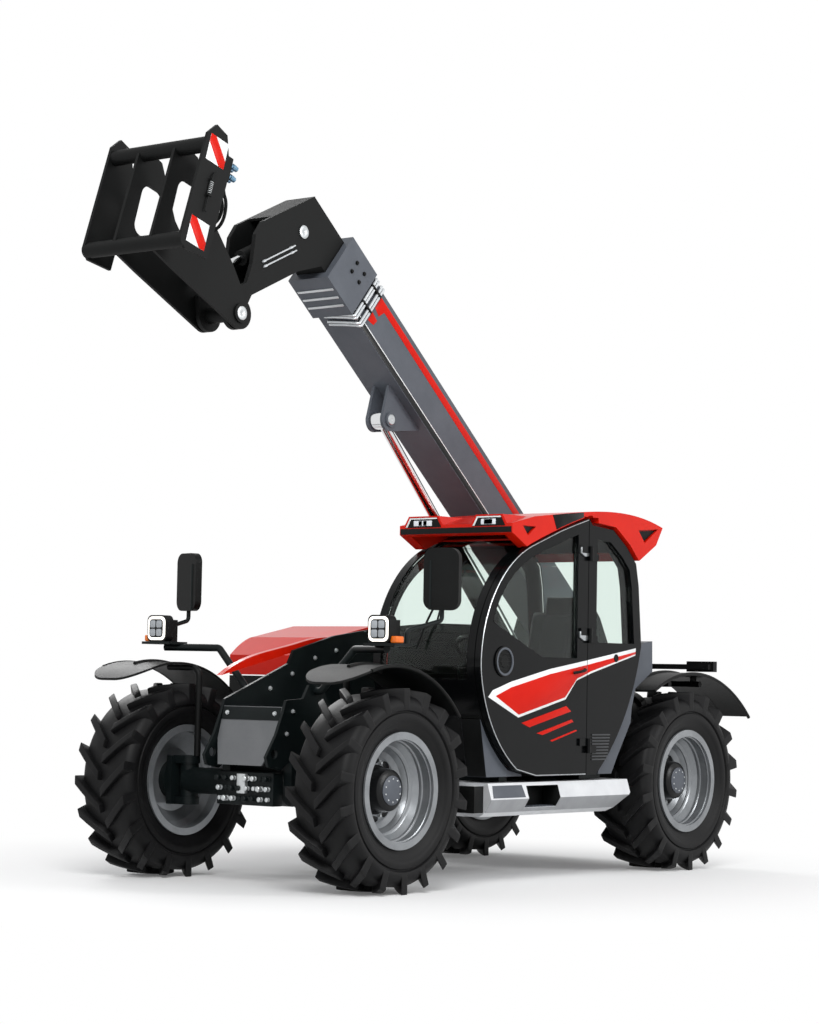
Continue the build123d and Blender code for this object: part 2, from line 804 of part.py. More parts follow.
finish(cab_glass.part, "cab_glass")

with BuildPart() as door_glass:
    with BuildSketch(side(side_x + reveal)):
        add(door_window(glass_clearance))
    extrude(amount=glass_thickness)
finish(door_glass.part, "door_glass")

# Slate grey sill plates under the cab's rounded ends, standing on the outriggers.
sill_gap = 3
with BuildPart() as cab_sill:
    for corners in (
        ((-766, 1141), (-714, 984), (-645, cab_floor_z), (-291, cab_floor_z), (-500, 1100)),
        ((523, cab_floor_z), (672, cab_floor_z), (738, 746), (886, 961), (897, 1053), (937, 1177),
         (1133, 1289), (1128, 1484), (1043, 1474), (700, 1300)),
    ):
        with BuildSketch(side(cab_left - 160)):
            with BuildLine():
                Polyline(*corners, close=True)
            make_face()
            add(cab_outline(-sill_gap), mode=Mode.SUBTRACT)
        extrude(amount=145)
finish(cab_sill.part, "cab_sill")

# Moulded roof cap with a beak over the windscreen, two raised lamp pods and a drooped tail.
# A seal along its middle seats it on the cab frame, and the door passes under its edge.
roof_right = cab_right - 30
roof_left = side_face + 18
beak_y = -532
beak_low = 2095
beak_top = 2152
pod_top = 2207
pods = ((roof_right + 25, roof_right + 345), (roof_left - 320, roof_left - 30))
lamp_recess = 22
door_swing = 80
door_lift = 12
with BuildPart() as cab_roof:
    with BuildSketch(side(roof_right)):
        with BuildLine():
            Polyline((-372, 2015), (beak_y, beak_low), (beak_y, beak_top), (-300, 2205))
            Spline((-300, 2205), (250, 2266), (720, 2278), (1113, 2214))
            Polyline((1113, 2214), (1037, 2098), (845, 1990), (-372, 2015))
        make_face()
        add(cab_outline(-roof_gap), mode=Mode.SUBTRACT)
    extrude(amount=roof_left - roof_right)
    block((roof_right + 75, roof_left - 75), (beak_y + 25, 0), (1950, beak_low + 15), Mode.SUBTRACT)
    with BuildSketch(side(cab_right)):
        add(cab_outline(-roof_gap - 2))
        with Locations((200, 2150)):
            Rectangle(800, 300, mode=Mode.INTERSECT)
        add(cab_outline(), mode=Mode.SUBTRACT)
    extrude(amount=cab_left - cab_right)
    with BuildSketch(side(cab_left)):
        add(cab_outline(-roof_gap - door_lift))
    extrude(amount=roof_left - cab_left, mode=Mode.SUBTRACT)
    block((cab_left, roof_left), (door_split_y - door_swing, door_split_y + door_swing),
          (2100, cab_top[1] + roof_gap), Mode.SUBTRACT)
    for low, high in pods:
        with BuildSketch(Plane.XZ.offset(-mid_y - beak_y)):
            with BuildLine():
                Polyline(
                    (low, beak_top - 20),
                    (low + 45, pod_top),
                    (high - 45, pod_top),
                    (high, beak_top - 20),
                    close=True,
                )
            make_face()
        extrude(amount=-250)
    for recess in (((830, 2185), (1060, 2203), (905, 2105)), ((-425, 2143), (-290, 2143), (-372, 2085))):
        for x in (roof_right, roof_left - lamp_recess):
            with BuildSketch(side(x)):
                with BuildLine():
                    Polyline(*recess, close=True)
                make_face()
            extrude(amount=lamp_recess, mode=Mode.SUBTRACT)
finish(cab_roof.part, "cab_roof")

# Seat on its box, steering column and side console.
seat_x = (cab_right + cab_left) / 2
cab_inside_z = cab_floor_z + cab_wall
with BuildPart() as seat:
    block((seat_x - 180, seat_x + 180), (40, 320), (cab_inside_z, 1010))
    block((seat_x - 240, seat_x + 240), (80, 560), (1010, 1130))
    with BuildSketch(side(seat_x - 230)):
        with BuildLine():
            Polyline((430, 1130), (560, 1130), (700, 1690), (600, 1720), close=True)
        make_face()
    extrude(amount=460)
finish(seat.part, "seat")

with BuildPart() as controls:
    with BuildSketch(side(seat_x - 60)):
        with BuildLine():
            Polyline((-215, cab_inside_z), (-85, cab_inside_z), (-190, 1290), (-290, 1330), close=True)
        make_face()
    extrude(amount=120)
    wheel_plane = Plane(origin=(seat_x, mid_y - 205, 1370), x_dir=(1, 0, 0), z_dir=(0, 0.55, 0.83))
    with BuildSketch(wheel_plane):
        Circle(185)
        Circle(160, mode=Mode.SUBTRACT)
        Rectangle(330, 40)
        Circle(45)
    extrude(amount=24)
    with BuildSketch(wheel_plane):
        Circle(24)
    extrude(amount=-80)
    block((cab_right + cab_wall / 2, cab_right + 135), (-150, 300), (cab_inside_z, 1150))
finish(controls.part, "controls")

# Step and tank box under the cab, with the foot pocket in its outer face.
step_outer = 1020
with BuildPart() as step_box:
    with BuildSketch(Plane.XZ.offset(-mid_y + 680)):
        with BuildLine():
            Polyline(
                (frame_outer, 405),
                (step_outer - 90, 405),
                (step_outer - 50, 430),
                (step_outer, 510),
                (step_outer - 30, 605),
                (frame_outer, 605),
                close=True,
            )
        make_face()
    extrude(amount=-1480)
    block((frame_outer, step_outer - 60), (-770, -680), (430, 590))
    with BuildSketch(Plane.XZ.offset(-mid_y + 300)):
        with Locations((step_outer - 60, 520)):
            Rectangle(160, 130)
    extrude(amount=-330, mode=Mode.SUBTRACT)
    with BuildSketch(side(frame_outer)):
        with BuildLine():
            Polyline((640, 400), (802, 400), (802, 525), close=True)
        make_face()
    extrude(amount=step_outer - frame_outer, mode=Mode.SUBTRACT)
finish(step_box.part, "step_box")

# Headlamp arms: bent tubes that rise from the nose plates, a tray for each lamp and a mirror stalk.
lamp_x = 870
lamp_y = -axle_half
lamp_arm_z = 1405
arm_radius = 22
arm_elbow = (535, -axle_half + 123, lamp_arm_z - 5 - arm_radius)
lamp_width = 160
lamp_height = 160
mirror_x = 1000
mirror_y = -axle_half + 340
mirror_low = 1610
mirror_size = (220, 360, 46)
mirror_turn = 15
stalk_radius = 13
with BuildPart() as lamp_arms:
    for way in (1, -1):
        with BuildLine() as arm_line:
            FilletPolyline(
                (way * frame_outer, mid_y + arm_y, arm_foot_z),
                (way * (frame_outer + 40), mid_y + arm_y, arm_foot_z),
                (way * arm_elbow[0], mid_y + arm_elbow[1], arm_elbow[2]),
                (way * lamp_x, mid_y + lamp_y, arm_elbow[2]),
                radius=36,
            )
        with BuildSketch(Plane(origin=arm_line.line @ 0, z_dir=arm_line.line % 0)):
            Circle(arm_radius)
        sweep(path=arm_line.line)
        low, high = sorted((way * (lamp_x - 110), way * (lamp_x + 120)))
        block((low, high), (lamp_y - 80, lamp_y + 80), (lamp_arm_z - 10, lamp_arm_z + 6))
        with BuildLine() as stalk_line:
            FilletPolyline(
                (way * (lamp_x + 100), mid_y + lamp_y + 55, lamp_arm_z),
                (way * (lamp_x + 100), mid_y + lamp_y + 55, lamp_arm_z + 80),
                (way * mirror_x, mid_y + mirror_y, mirror_low - 60),
                (way * mirror_x, mid_y + mirror_y, mirror_low),
                radius=30,
            )
        with BuildSketch(Plane(origin=stalk_line.line @ 0, z_dir=(0, 0, 1))):
            Circle(stalk_radius)
        sweep(path=stalk_line.line)
finish(lamp_arms.part, "lamp_arms")

with BuildPart() as headlamps:
    for way in (1, -1):
        with BuildSketch(Plane.XZ.offset(-mid_y - lamp_y + 75)):
            with Locations((way * lamp_x, lamp_arm_z + 6 + lamp_height / 2)):
                RectangleRounded(lamp_width, lamp_height, 34)
        extrude(amount=-60)
        block((way * lamp_x - 55, way * lamp_x + 55), (lamp_y - 20, lamp_y + 50),
              (lamp_arm_z + 6, lamp_arm_z + lamp_height - 20))
finish(headlamps.part, "headlamps")

with BuildPart() as mirrors:
    for way in (1, -1):
        turn = radians(way * mirror_turn)
        middle = (way * mirror_x, mid_y + mirror_y, mirror_low + mirror_size[1] / 2)
        back = Plane(origin=middle, x_dir=(cos(turn), sin(turn), 0), z_dir=(sin(turn), -cos(turn), 0))
        with BuildSketch(back.offset(-mirror_size[2] / 2)):
            RectangleRounded(mirror_size[0], mirror_size[1], 60)
        extrude(amount=mirror_size[2])
finish(mirrors.part, "mirrors")

with BuildPart() as tail_lamps:
    for way in (1, -1):
        low, high = sorted((way * frame_outer, way * 985))
        block((low, high), (axle_half + 265, axle_half + 305), (tail_bar_z, tail_bar_z + 35))
        low, high = sorted((way * 790, way * 1000))
        block((low, high), (axle_half + 305, axle_half + 350), (tail_bar_z - 15, tail_bar_z + 55))
finish(tail_lamps.part, "tail_lamps")

# Outer boom: a welded box with its pivot tube and the bracket of the lift cylinder.
pivot_tube = 22
boom_half = boom_width / 2
bracket_plate = 20
lift_eye_width = 80
bracket_inner = lift_eye_width / 2 + 8
with BuildPart() as outer_boom:
    with BuildSketch(boom_plane(boom_half)):
        with BuildLine():
            Polyline(
                (-boom_tail, boom_bottom + 60),
                (-boom_tail, boom_top - 90),
                (-60, boom_top),
                (boom_length, boom_top),
                (boom_length, boom_bottom),
                (-60, boom_bottom),
                close=True,
            )
        make_face()
    extrude(amount=boom_width)
    with BuildSketch(boom_plane(boom_half - boom_wall)):
        with BuildLine():
            Polyline(
                (150, boom_bottom + boom_wall),
                (150, boom_top - boom_wall),
                (boom_length, boom_top - boom_wall),
                (boom_length, boom_bottom + boom_wall),
                close=True,
            )
        make_face()
    extrude(amount=boom_width - 2 * boom_wall, mode=Mode.SUBTRACT)
    cross_pin(pivot_y, pivot_z, pivot_pin_radius + pivot_tube, -frame_inner + 5, frame_inner - 5)
    cross_pin(pivot_y, pivot_z, pivot_pin_radius + rod_clearance, -frame_inner, frame_inner, Mode.SUBTRACT)
    for x in (-bracket_inner, bracket_inner + bracket_plate):
        with BuildSketch(boom_plane(x)):
            with BuildLine():
                Polyline(
                    (lift_eye_a - 260, boom_bottom + 5),
                    (lift_eye_a - 60, lift_eye_n - 40),
                    (lift_eye_a + 60, lift_eye_n - 40),
                    (lift_eye_a + 150, boom_bottom + 5),
                    close=True,
                )
            make_face()
            with Locations((lift_eye_a, lift_eye_n)):
                Circle(72)
        extrude(amount=bracket_plate)
    for x in (-bracket_inner - bracket_plate - pin_head, bracket_inner + bracket_plate):
        cross_pin(*lift_eye, pivot_pin_radius, x, x + pin_head)
finish(outer_boom.part, "outer_boom")

# Collar at the mouth of the outer boom, with the wear pads that guide the inner boom.
inner_half = boom_half - boom_wall - inner_clearance
inner_bottom = boom_bottom + boom_wall + inner_clearance
inner_top = boom_top - boom_wall - inner_clearance
collar_plate = 22
with BuildPart() as boom_collar:
    with BuildSketch(boom_plane(boom_half + collar_plate)):
        with Locations((boom_length - collar_length / 2, (boom_top + boom_bottom) / 2)):
            Rectangle(collar_length, boom_top - boom_bottom + 2 * collar_plate)
    extrude(amount=boom_width + 2 * collar_plate)
    with BuildSketch(boom_plane(boom_half)):
        with Locations((boom_length - collar_length / 2, (boom_top + boom_bottom) / 2)):
            Rectangle(collar_length, boom_top - boom_bottom)
    extrude(amount=boom_width, mode=Mode.SUBTRACT)
    with BuildSketch(boom_plane(boom_half + collar_plate)):
        with Locations((boom_length + 20, (boom_top + boom_bottom) / 2)):
            Rectangle(40, boom_top - boom_bottom + 2 * collar_plate)
    extrude(amount=boom_width + 2 * collar_plate)
    with BuildSketch(boom_plane(inner_half + pad_clearance)):
        with Locations((boom_length + 20, (inner_top + inner_bottom) / 2)):
            Rectangle(40, inner_top - inner_bottom + 2 * pad_clearance)
    extrude(amount=2 * (inner_half + pad_clearance), mode=Mode.SUBTRACT)
finish(boom_collar.part, "boom_collar")

# Inner boom with the goose neck welded to its end.
neck_half = inner_half + 4
neck_inner = neck_half - neck_cheek
lever = hypot(tilt_eye_u - carriage_u, tilt_eye_v - carriage_v)
lug_radius = 92
with BuildPart() as inner_boom:
    with BuildSketch(boom_plane(inner_half)):
        with Locations(((inner_start + neck_start) / 2, (inner_top + inner_bottom) / 2)):
            Rectangle(neck_start - inner_start, inner_top - inner_bottom)
    extrude(amount=2 * inner_half)
    with BuildSketch(boom_plane(inner_half - inner_wall)):
        with Locations(((inner_start + boom_length) / 2, (inner_top + inner_bottom) / 2)):
            Rectangle(boom_length - inner_start, inner_top - inner_bottom - 2 * inner_wall)
    extrude(amount=2 * (inner_half - inner_wall), mode=Mode.SUBTRACT)
    with BuildSketch(neck_plane(neck_half)):
        with BuildLine():
            Polyline(
                (0, 0),
                (510, 0),
                (600, -50),
                (700, -200),
                (carriage_u - 165, carriage_v + 138),
                (carriage_u + 50, carriage_v + 140),
                (carriage_u + lug_radius, carriage_v),
                (carriage_u, carriage_v - lug_radius),
                (carriage_u - lug_radius, carriage_v),
                (780, -neck_depth),
                (331, -neck_depth),
                (100, -neck_depth - 40),
                close=True,
            )
        make_face()
        with Locations((carriage_u, carriage_v)):
            Circle(lug_radius)
    extrude(amount=2 * neck_half)
    with BuildSketch(neck_plane(neck_inner)):
        with BuildLine():
            Polyline(
                (35, -16),
                (400, -16),
                (400, 30),
                (1100, 30),
                (1100, -neck_depth - 200),
                (700, -neck_depth - 200),
                (700, -neck_depth + 16),
                (331, -neck_depth + 16),
                (110, -neck_depth - 10),
                (35, -200),
                close=True,
            )
        make_face()
    extrude(amount=2 * neck_inner, mode=Mode.SUBTRACT)
    cross_pin(*carriage_pivot, pivot_pin_radius, -neck_half, neck_half, Mode.SUBTRACT)
    cross_pin(*tilt_base, tilt_pin_radius + rod_clearance, -neck_half, neck_half, Mode.SUBTRACT)
finish(inner_boom.part, "inner_boom")


# Hydraulic cylinders, each a hollow barrel on its pin and a rod with an eye.
def barrel(start, end, radius, bore, back, front, eye_radius, eye_half):
    plane = link_plane(start, end)
    with BuildPart() as tube:
        with BuildSketch(plane.offset(back)):
            Circle(radius)
        extrude(amount=front - back)
        with BuildSketch(plane.offset(back + 30)):
            Circle(bore + 6)
        extrude(amount=front - back - 80, mode=Mode.SUBTRACT)
        with BuildSketch(plane.offset(front - 60)):
            Circle(bore + rod_clearance)
        extrude(amount=60, mode=Mode.SUBTRACT)
        if eye_half:
            with BuildSketch(plane) as foot:
                Rectangle(2 * eye_half, 2 * eye_half)
            extrude(foot.sketch, amount=back)
            cross_pin(*start, eye_radius, -eye_half, eye_half)
            cross_pin(*start, pivot_pin_radius + rod_clearance, -eye_half, eye_half, Mode.SUBTRACT)
    return tube.part


def rod(start, end, radius, back, eye_radius, eye_half, hole):
    plane = link_plane(start, end)
    reach = hypot(end[0] - start[0], end[1] - start[1])
    with BuildPart() as bar:
        with BuildSketch(plane.offset(back)):
            Circle(radius)
        extrude(amount=reach - back)
        cross_pin(*end, eye_radius, -eye_half, eye_half)
        cross_pin(*end, hole, -eye_half, eye_half, Mode.SUBTRACT)
    return bar.part


lift_closed = 1500
finish(barrel(lift_base, lift_eye, lift_barrel_radius, lift_rod_radius, 125, lift_closed, 72,
              lift_lug_gap / 2 - 4), "lift_barrel")
finish(rod(lift_base, lift_eye, lift_rod_radius, 760, lift_eye_radius, lift_eye_width / 2, pivot_pin_radius),
       "lift_rod")

tilt_back = -95
tilt_front = 470
with BuildPart() as tilt_barrel:
    add(barrel(tilt_base, tilt_eye, tilt_barrel_radius, tilt_rod_radius, tilt_back, tilt_front, 0, 0))
    for low, high in ((-neck_half - 4, -tilt_rod_radius - 12), (tilt_rod_radius + 12, neck_half + 4)):
        cross_pin(*tilt_base, tilt_pin_radius, low, high)
finish(tilt_barrel.part, "tilt_barrel")
finish(rod(tilt_base, tilt_eye, tilt_rod_radius, 110, 48, 38, tilt_pin_radius), "tilt_rod")

# Carriage: two bracket plates on the neck pivot and the frame that takes the tool.
bracket_in = neck_half + carriage_gap
bracket_out = bracket_in + carriage_plate
tilt_dx, tilt_dz = tilt_eye[0] - carriage_pivot[0], tilt_eye[1] - carriage_pivot[1]
lever_angle = degrees(atan2(tilt_dz, -tilt_dx)) - carriage_lean
lever_e = lever * cos(radians(lever_angle))
lever_h = lever * sin(radians(lever_angle))
bar_low = (770, 100)
bar_high = (745, 690)
with BuildPart() as carriage_bracket:
    for x in (bracket_out, -bracket_in):
        with BuildSketch(carriage_plane(x)):
            with BuildLine():
                Polyline(
                    (30, -88),
                    (600, 20),
                    (bar_low[0], bar_low[1] - carriage_bar_radius + 2),
                    (bar_low[0] + 42, bar_low[1]),
                    (bar_high[0] + 42, bar_high[1]),
                    (bar_high[0], bar_high[1] + carriage_bar_radius - 2),
                    (600, 700),
                    (400, 430),
                    (lever_e - 40, lever_h + 70),
                    (-80, 40),
                    close=True,
                )
            make_face()
            Circle(lug_radius)
            Circle(pivot_pin_radius, mode=Mode.SUBTRACT)
            for place in (bar_low, bar_high):
                with Locations(place):
                    Circle(carriage_bar_radius, mode=Mode.SUBTRACT)
            with Locations((610, 380)):
                RectangleRounded(180, 300, 60, mode=Mode.SUBTRACT)
        extrude(amount=carriage_plate)
    for low, high in ((-bracket_in, -44), (44, bracket_in)):
        cross_pin(*tilt_eye, tilt_pin_radius - 2, low, high)
finish(carriage_bracket.part, "carriage_bracket")

lock_hole = (650, 150)
lock_hole_radius = 20
with BuildPart() as carriage_frame:
    for place in (bar_low, bar_high):
        with BuildSketch(carriage_plane(carriage_half_width)):
            with Locations(place):
                Circle(carriage_bar_radius)
        extrude(amount=2 * carriage_half_width)
    for x in (carriage_half_width, -carriage_half_width + carriage_plate):
        with BuildSketch(carriage_plane(x)):
            with BuildLine():
                Polyline(
                    (580, 60),
                    (760, 45),
                    (815, 90),
                    (790, 740),
                    (735, 812),
                    (640, 790),
                    (560, 600),
                    close=True,
                )
            make_face()
            with Locations(lock_hole):
                Circle(lock_hole_radius, mode=Mode.SUBTRACT)
        extrude(amount=carriage_plate)
    pin_out = bracket_out
    cross_pin(*carriage_pivot, pivot_pin_radius - rod_clearance, -pin_out, pin_out)
    for x in (-pin_out - pin_head, pin_out):
        cross_pin(*carriage_pivot, pivot_pin_radius + 12, x, x + pin_head)
finish(carriage_frame.part, "carriage_frame")
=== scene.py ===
import json
import math

import bpy
from mathutils import Matrix, Vector


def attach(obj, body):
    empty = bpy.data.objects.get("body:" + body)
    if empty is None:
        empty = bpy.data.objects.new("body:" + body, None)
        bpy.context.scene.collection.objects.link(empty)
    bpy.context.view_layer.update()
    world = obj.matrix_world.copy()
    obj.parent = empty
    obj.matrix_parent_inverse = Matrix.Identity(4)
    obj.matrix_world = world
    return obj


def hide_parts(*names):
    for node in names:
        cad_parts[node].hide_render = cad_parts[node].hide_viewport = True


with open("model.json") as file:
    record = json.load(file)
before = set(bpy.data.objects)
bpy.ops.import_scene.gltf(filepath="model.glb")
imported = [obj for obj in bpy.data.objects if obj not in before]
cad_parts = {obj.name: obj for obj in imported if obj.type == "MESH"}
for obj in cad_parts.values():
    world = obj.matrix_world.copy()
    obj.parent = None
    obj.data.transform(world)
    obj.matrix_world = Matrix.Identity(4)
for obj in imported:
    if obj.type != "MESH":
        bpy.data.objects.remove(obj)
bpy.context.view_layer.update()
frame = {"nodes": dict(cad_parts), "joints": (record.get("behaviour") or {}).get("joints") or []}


# Chassis: two long flame-cut steel plates with welded cross members, a tow jaw and both axle housings.
# They are sprayed as one in a black paint with a breath of green, which keeps a soft even gloss.
# Small fittings are bolted on with zinc-plated hexagon screws.
def linear(hex_colour):
    """sRGB hex to the linear colour that shaders take."""
    channels = [int(hex_colour[i:i + 2], 16) / 255 for i in (1, 3, 5)]
    return [c / 12.92 if c <= 0.04045 else ((c + 0.055) / 1.055) ** 2.4 for c in channels] + [1.0]


def node(owner, kind, settings=None, feeds=(), **links):
    """Adds one shader node with its settings, and links its inputs in their order or by name."""
    added = owner.node_tree.nodes.new(kind)
    for key, value in (settings or {}).items():
        if hasattr(added, key):
            setattr(added, key, value)
        else:
            added.inputs[key].default_value = value
    for key, socket in [*enumerate(feeds), *links.items()]:
        owner.node_tree.links.new(added.inputs[key], socket)
    return added


def start_material(name, settings):
    """Starts a material on one principled shader, and returns it with that shader."""
    material = bpy.data.materials.new(name)
    material.use_nodes = True
    shader = material.node_tree.nodes["Principled BSDF"]
    for key, value in settings.items():
        shader.inputs[key].default_value = value
    return material, shader


def worn_finish(name, base, worn, roughness, spread, settings=None, grain=None):
    """A finish of two tones that drift into each other, with uneven gloss and often a raised grain.

    The grain is its size in millimetres and its strength. Real grains are finer: each is drawn
    as coarse as it has to be to show in the render.
    """
    patch_mm = 250
    material, shader = start_material(name, settings or {})
    place = node(material, "ShaderNodeTexCoord").outputs["Object"]
    drift = node(material, "ShaderNodeTexNoise", {"Scale": 1000 / patch_mm, "Detail": 6.0, "Roughness": 0.65},
                 Vector=place)
    tone = node(material, "ShaderNodeValToRGB", Fac=drift.outputs["Fac"])
    tone.color_ramp.elements[0].position = 0.35
    tone.color_ramp.elements[0].color = linear(base)
    tone.color_ramp.elements[1].position = 0.75
    tone.color_ramp.elements[1].color = linear(worn)
    gloss = node(material, "ShaderNodeMapRange", {"To Min": roughness - spread, "To Max": roughness + spread},
                 Value=drift.outputs["Fac"])
    links = material.node_tree.links
    links.new(shader.inputs["Base Color"], tone.outputs["Color"])
    links.new(shader.inputs["Roughness"], gloss.outputs["Result"])
    if grain:
        grain_mm, strength = grain
        pebbles = node(material, "ShaderNodeTexNoise", {"Scale": 1000 / grain_mm, "Detail": 3.0}, Vector=place)
        relief = node(material, "ShaderNodeBump", {"Strength": strength, "Distance": 0.001},
                      Height=pebbles.outputs["Fac"])
        links.new(shader.inputs["Normal"], relief.outputs["Normal"])
    return material


def dress(material, *names):
    """Gives CAD nodes their finish."""
    for name in names:
        mesh = frame["nodes"][name].data
        mesh.materials.clear()
        mesh.materials.append(material)


joint_place = {joint["name"]: Vector(joint["pos_m"]) for joint in frame["joints"] if "pos_m" in joint}
mid_y = (joint_place["roll_front_left"].y + joint_place["roll_rear_left"].y) / 2


def spot(x, y, z):
    """A place in metres, from millimetres across, back from mid-wheelbase and up."""
    return Vector((x / 1000, mid_y + y / 1000, z / 1000))


def take(piece):
    """Selects one piece alone and makes it active."""
    bpy.ops.object.select_all(action="DESELECT")
    piece.select_set(True)
    bpy.context.view_layer.objects.active = piece


def worked(*steps):
    """Works on the whole of the active mesh in edit mode, step by step."""
    bpy.ops.object.mode_set(mode="EDIT")
    for step, settings in steps:
        bpy.ops.mesh.select_all(action="SELECT")
        step(**settings)
    bpy.ops.object.mode_set(mode="OBJECT")


faces_outward = (bpy.ops.mesh.normals_make_consistent, {"inside": False})


def eased(piece, width):
    """Breaks the sharp edges of a piece by a bevel, which is then applied."""
    take(piece)
    bpy.ops.object.modifier_add(type="BEVEL")
    bevel = piece.modifiers[-1]
    bevel.width = width
    bevel.segments = 2
    bevel.limit_method = "ANGLE"
    bevel.angle_limit = math.radians(30)
    bpy.ops.object.modifier_apply(modifier=bevel.name)
    return piece


def slab(name, outline, depth, edge=0.0):
    """A flat piece: a filled ring drawn out to an outline, extruded by its depth and eased."""
    bpy.ops.mesh.primitive_circle_add(vertices=len(outline), fill_type="NGON")
    piece = bpy.context.object
    piece.name = name
    for vertex, place in zip(piece.data.vertices, outline):
        vertex.co = place
    worked((bpy.ops.mesh.extrude_region_move, {"TRANSFORM_OT_translate": {"value": depth}}), faces_outward)
    return eased(piece, edge) if edge else piece


def turned(name, profile, steps=32):
    """A lathe piece: a closed profile of (along x, radius) in millimetres, spun round the x axis."""
    bpy.ops.mesh.primitive_circle_add(vertices=len(profile), fill_type="NOTHING")
    piece = bpy.context.object
    piece.name = name
    for vertex, (along, radius) in zip(piece.data.vertices, profile):
        vertex.co = (along / 1000, 0, radius / 1000)
    spin = {"steps": steps, "angle": 2 * math.pi, "center": (0, 0, 0), "axis": (1, 0, 0)}
    worked((bpy.ops.mesh.spin, spin), (bpy.ops.mesh.remove_doubles, {"threshold": 0.00005}),
           (bpy.ops.mesh.dissolve_degenerate, {"threshold": 0.00005}), faces_outward)
    return piece


def joined(name, pieces):
    """Joins pieces of one finish into one."""
    take(pieces[0])
    for piece in pieces[1:]:
        piece.select_set(True)
    if len(pieces) > 1:
        bpy.ops.object.join()
    pieces[0].name = name
    return pieces[0]


def repeated(name, pattern, places, keep=False):
    """Copies a modelled piece to each place, each copy with its own mesh, and joins the copies."""
    copies = []
    for place in places:
        copy = pattern.copy()
        copy.data = pattern.data.copy()
        copy.data.transform(place)
        bpy.context.collection.objects.link(copy)
        copies.append(copy)
    if not keep:
        bpy.data.objects.remove(pattern)
    return joined(name, copies)


def facing(place, direction):
    """The turn and shift that lay a lathe piece's x axis along a direction, at a place."""
    return Matrix.Translation(place) @ Vector(direction).to_track_quat("X", "Z").to_matrix().to_4x4()


def settle(piece, body, material):
    """Gives a finished piece its material and the body that carries it."""
    piece.data.materials.clear()
    piece.data.materials.append(material)
    take(piece)
    bpy.ops.object.shade_smooth_by_angle(angle=math.radians(32))
    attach(piece, body)


corners = [f"{end}_{hand}" for end in ("front", "rear") for hand in ("left", "right")]
# Sprayed enamel: nearly black with a cold green cast, and a soft even sheen.
frame_paint = worn_finish("sprayed_chassis_paint", "#0a0f10", "#101717", 0.44, 0.06,
                          {"Specular IOR Level": 0.15}, (3.0, 0.08))
dress(frame_paint, "frame_plates", "cross_members", "rear_hitch", "front_axle", "rear_axle", "lamp_arms",
      *[f"knuckle_{corner}" for corner in corners])
# Zinc plating: bright, a little cloudy, with soft highlights.
zinc = worn_finish("zinc_plated_steel", "#b4b8ba", "#cfd2d2", 0.36, 0.06, {"Metallic": 0.75}, (1.5, 0.05))
dress(zinc, "chassis_pins")
# Sprayed slate paint: a cool mid grey with a satin sheen.
slate_paint = worn_finish("slate_grey_paint", "#4c5057", "#565a61", 0.4, 0.05,
                          {"Specular IOR Level": 0.22}, (3.0, 0.06))
dress(slate_paint, "boom_collar", "outer_boom", "cab_sill")
# A warmer grey paint, light enough to stand off the black plates round it.
cover_paint = worn_finish("mid_grey_cover_paint", "#5d5f61", "#68696b", 0.42, 0.05,
                          {"Specular IOR Level": 0.22}, (3.0, 0.06))
dress(cover_paint, "nose_cover")
screw = turned("screw_pattern", [(0, 0), (0, 15), (2.5, 15), (2.5, 11), (10, 11), (12, 9), (12, 0)], 6)
cover_slope = Vector((0, -0.970, 0.243))
cover_strip = slab("nose_cover_strip", [spot(-224, -1658, 1031), spot(224, -1658, 1031), spot(224, -1676, 957),
                                        spot(-224, -1676, 957)], cover_slope * 0.004, 0.0012)
settle(cover_strip, "chassis", frame_paint)
plate_inside, plate_outside = 229, 251
nose_screws = repeated("nose_screws", screw, [
    *[facing(spot(x, -1668, 995) + cover_slope * 0.003, cover_slope) for x in (-185, 185)],
    *[facing(spot(-plate_inside, y, z), (1, 0, 0))
      for y, z in ((-1250, 1140), (-1050, 1230), (-840, 1330), (-640, 1380))],
    *[facing(spot(x, y, z), (x, 0, 0)) for x in (-plate_outside, plate_outside)
      for y, z in ((-1590, 1010), (-1640, 880), (1820, 900))],
], keep=True)
settle(nose_screws, "chassis", zinc)


# Valve manifold under the nose: a drilled steel block on the front of the axle housing.
# Its black body carries rows of hydraulic unions and plugs, screwed in side by side.
def block(name, x, y, z, edge):
    """A square-cut piece from (from, to) pairs in millimetres across, back and up."""
    foot = [spot(x[i], y[j], z[0]) for i, j in ((0, 0), (1, 0), (1, 1), (0, 1))]
    return slab(name, foot, Vector((0, 0, (z[1] - z[0]) / 1000)), edge)


manifold = block("valve_manifold", (-220, 220), (-1711, -1626), (462, 655), 0.006)
settle(manifold, "chassis", frame_paint)
union = turned("union_pattern", [(0, 0), (0, 15), (8, 15), (10, 12), (18, 12), (20, 16), (34, 16), (37, 12),
                                 (37, 0)], 12)
bright_unions, dark_unions = [], []
for row, z in enumerate((500, 560, 618)):
    for column, x in enumerate(range(-185, 200, 53)):
        kind = (column * 5 + row * 3) % 7
        length, girth = 0.6 + 0.12 * kind, 0.8 + 0.05 * kind
        place = facing(spot(x, -1711, z), (0, -1, 0)) @ Matrix.Diagonal((length, girth, girth, 1))
        (dark_unions if kind in (1, 4, 6) else bright_unions).append(place)
settle(repeated("manifold_plugs", union, dark_unions, keep=True), "chassis", frame_paint)
settle(repeated("manifold_unions", union, bright_unions), "chassis", zinc)
manifold_plate = block("manifold_plate", (-40, 25), (-1740, -1712), (530, 645), 0.004)
settle(manifold_plate, "chassis", zinc)

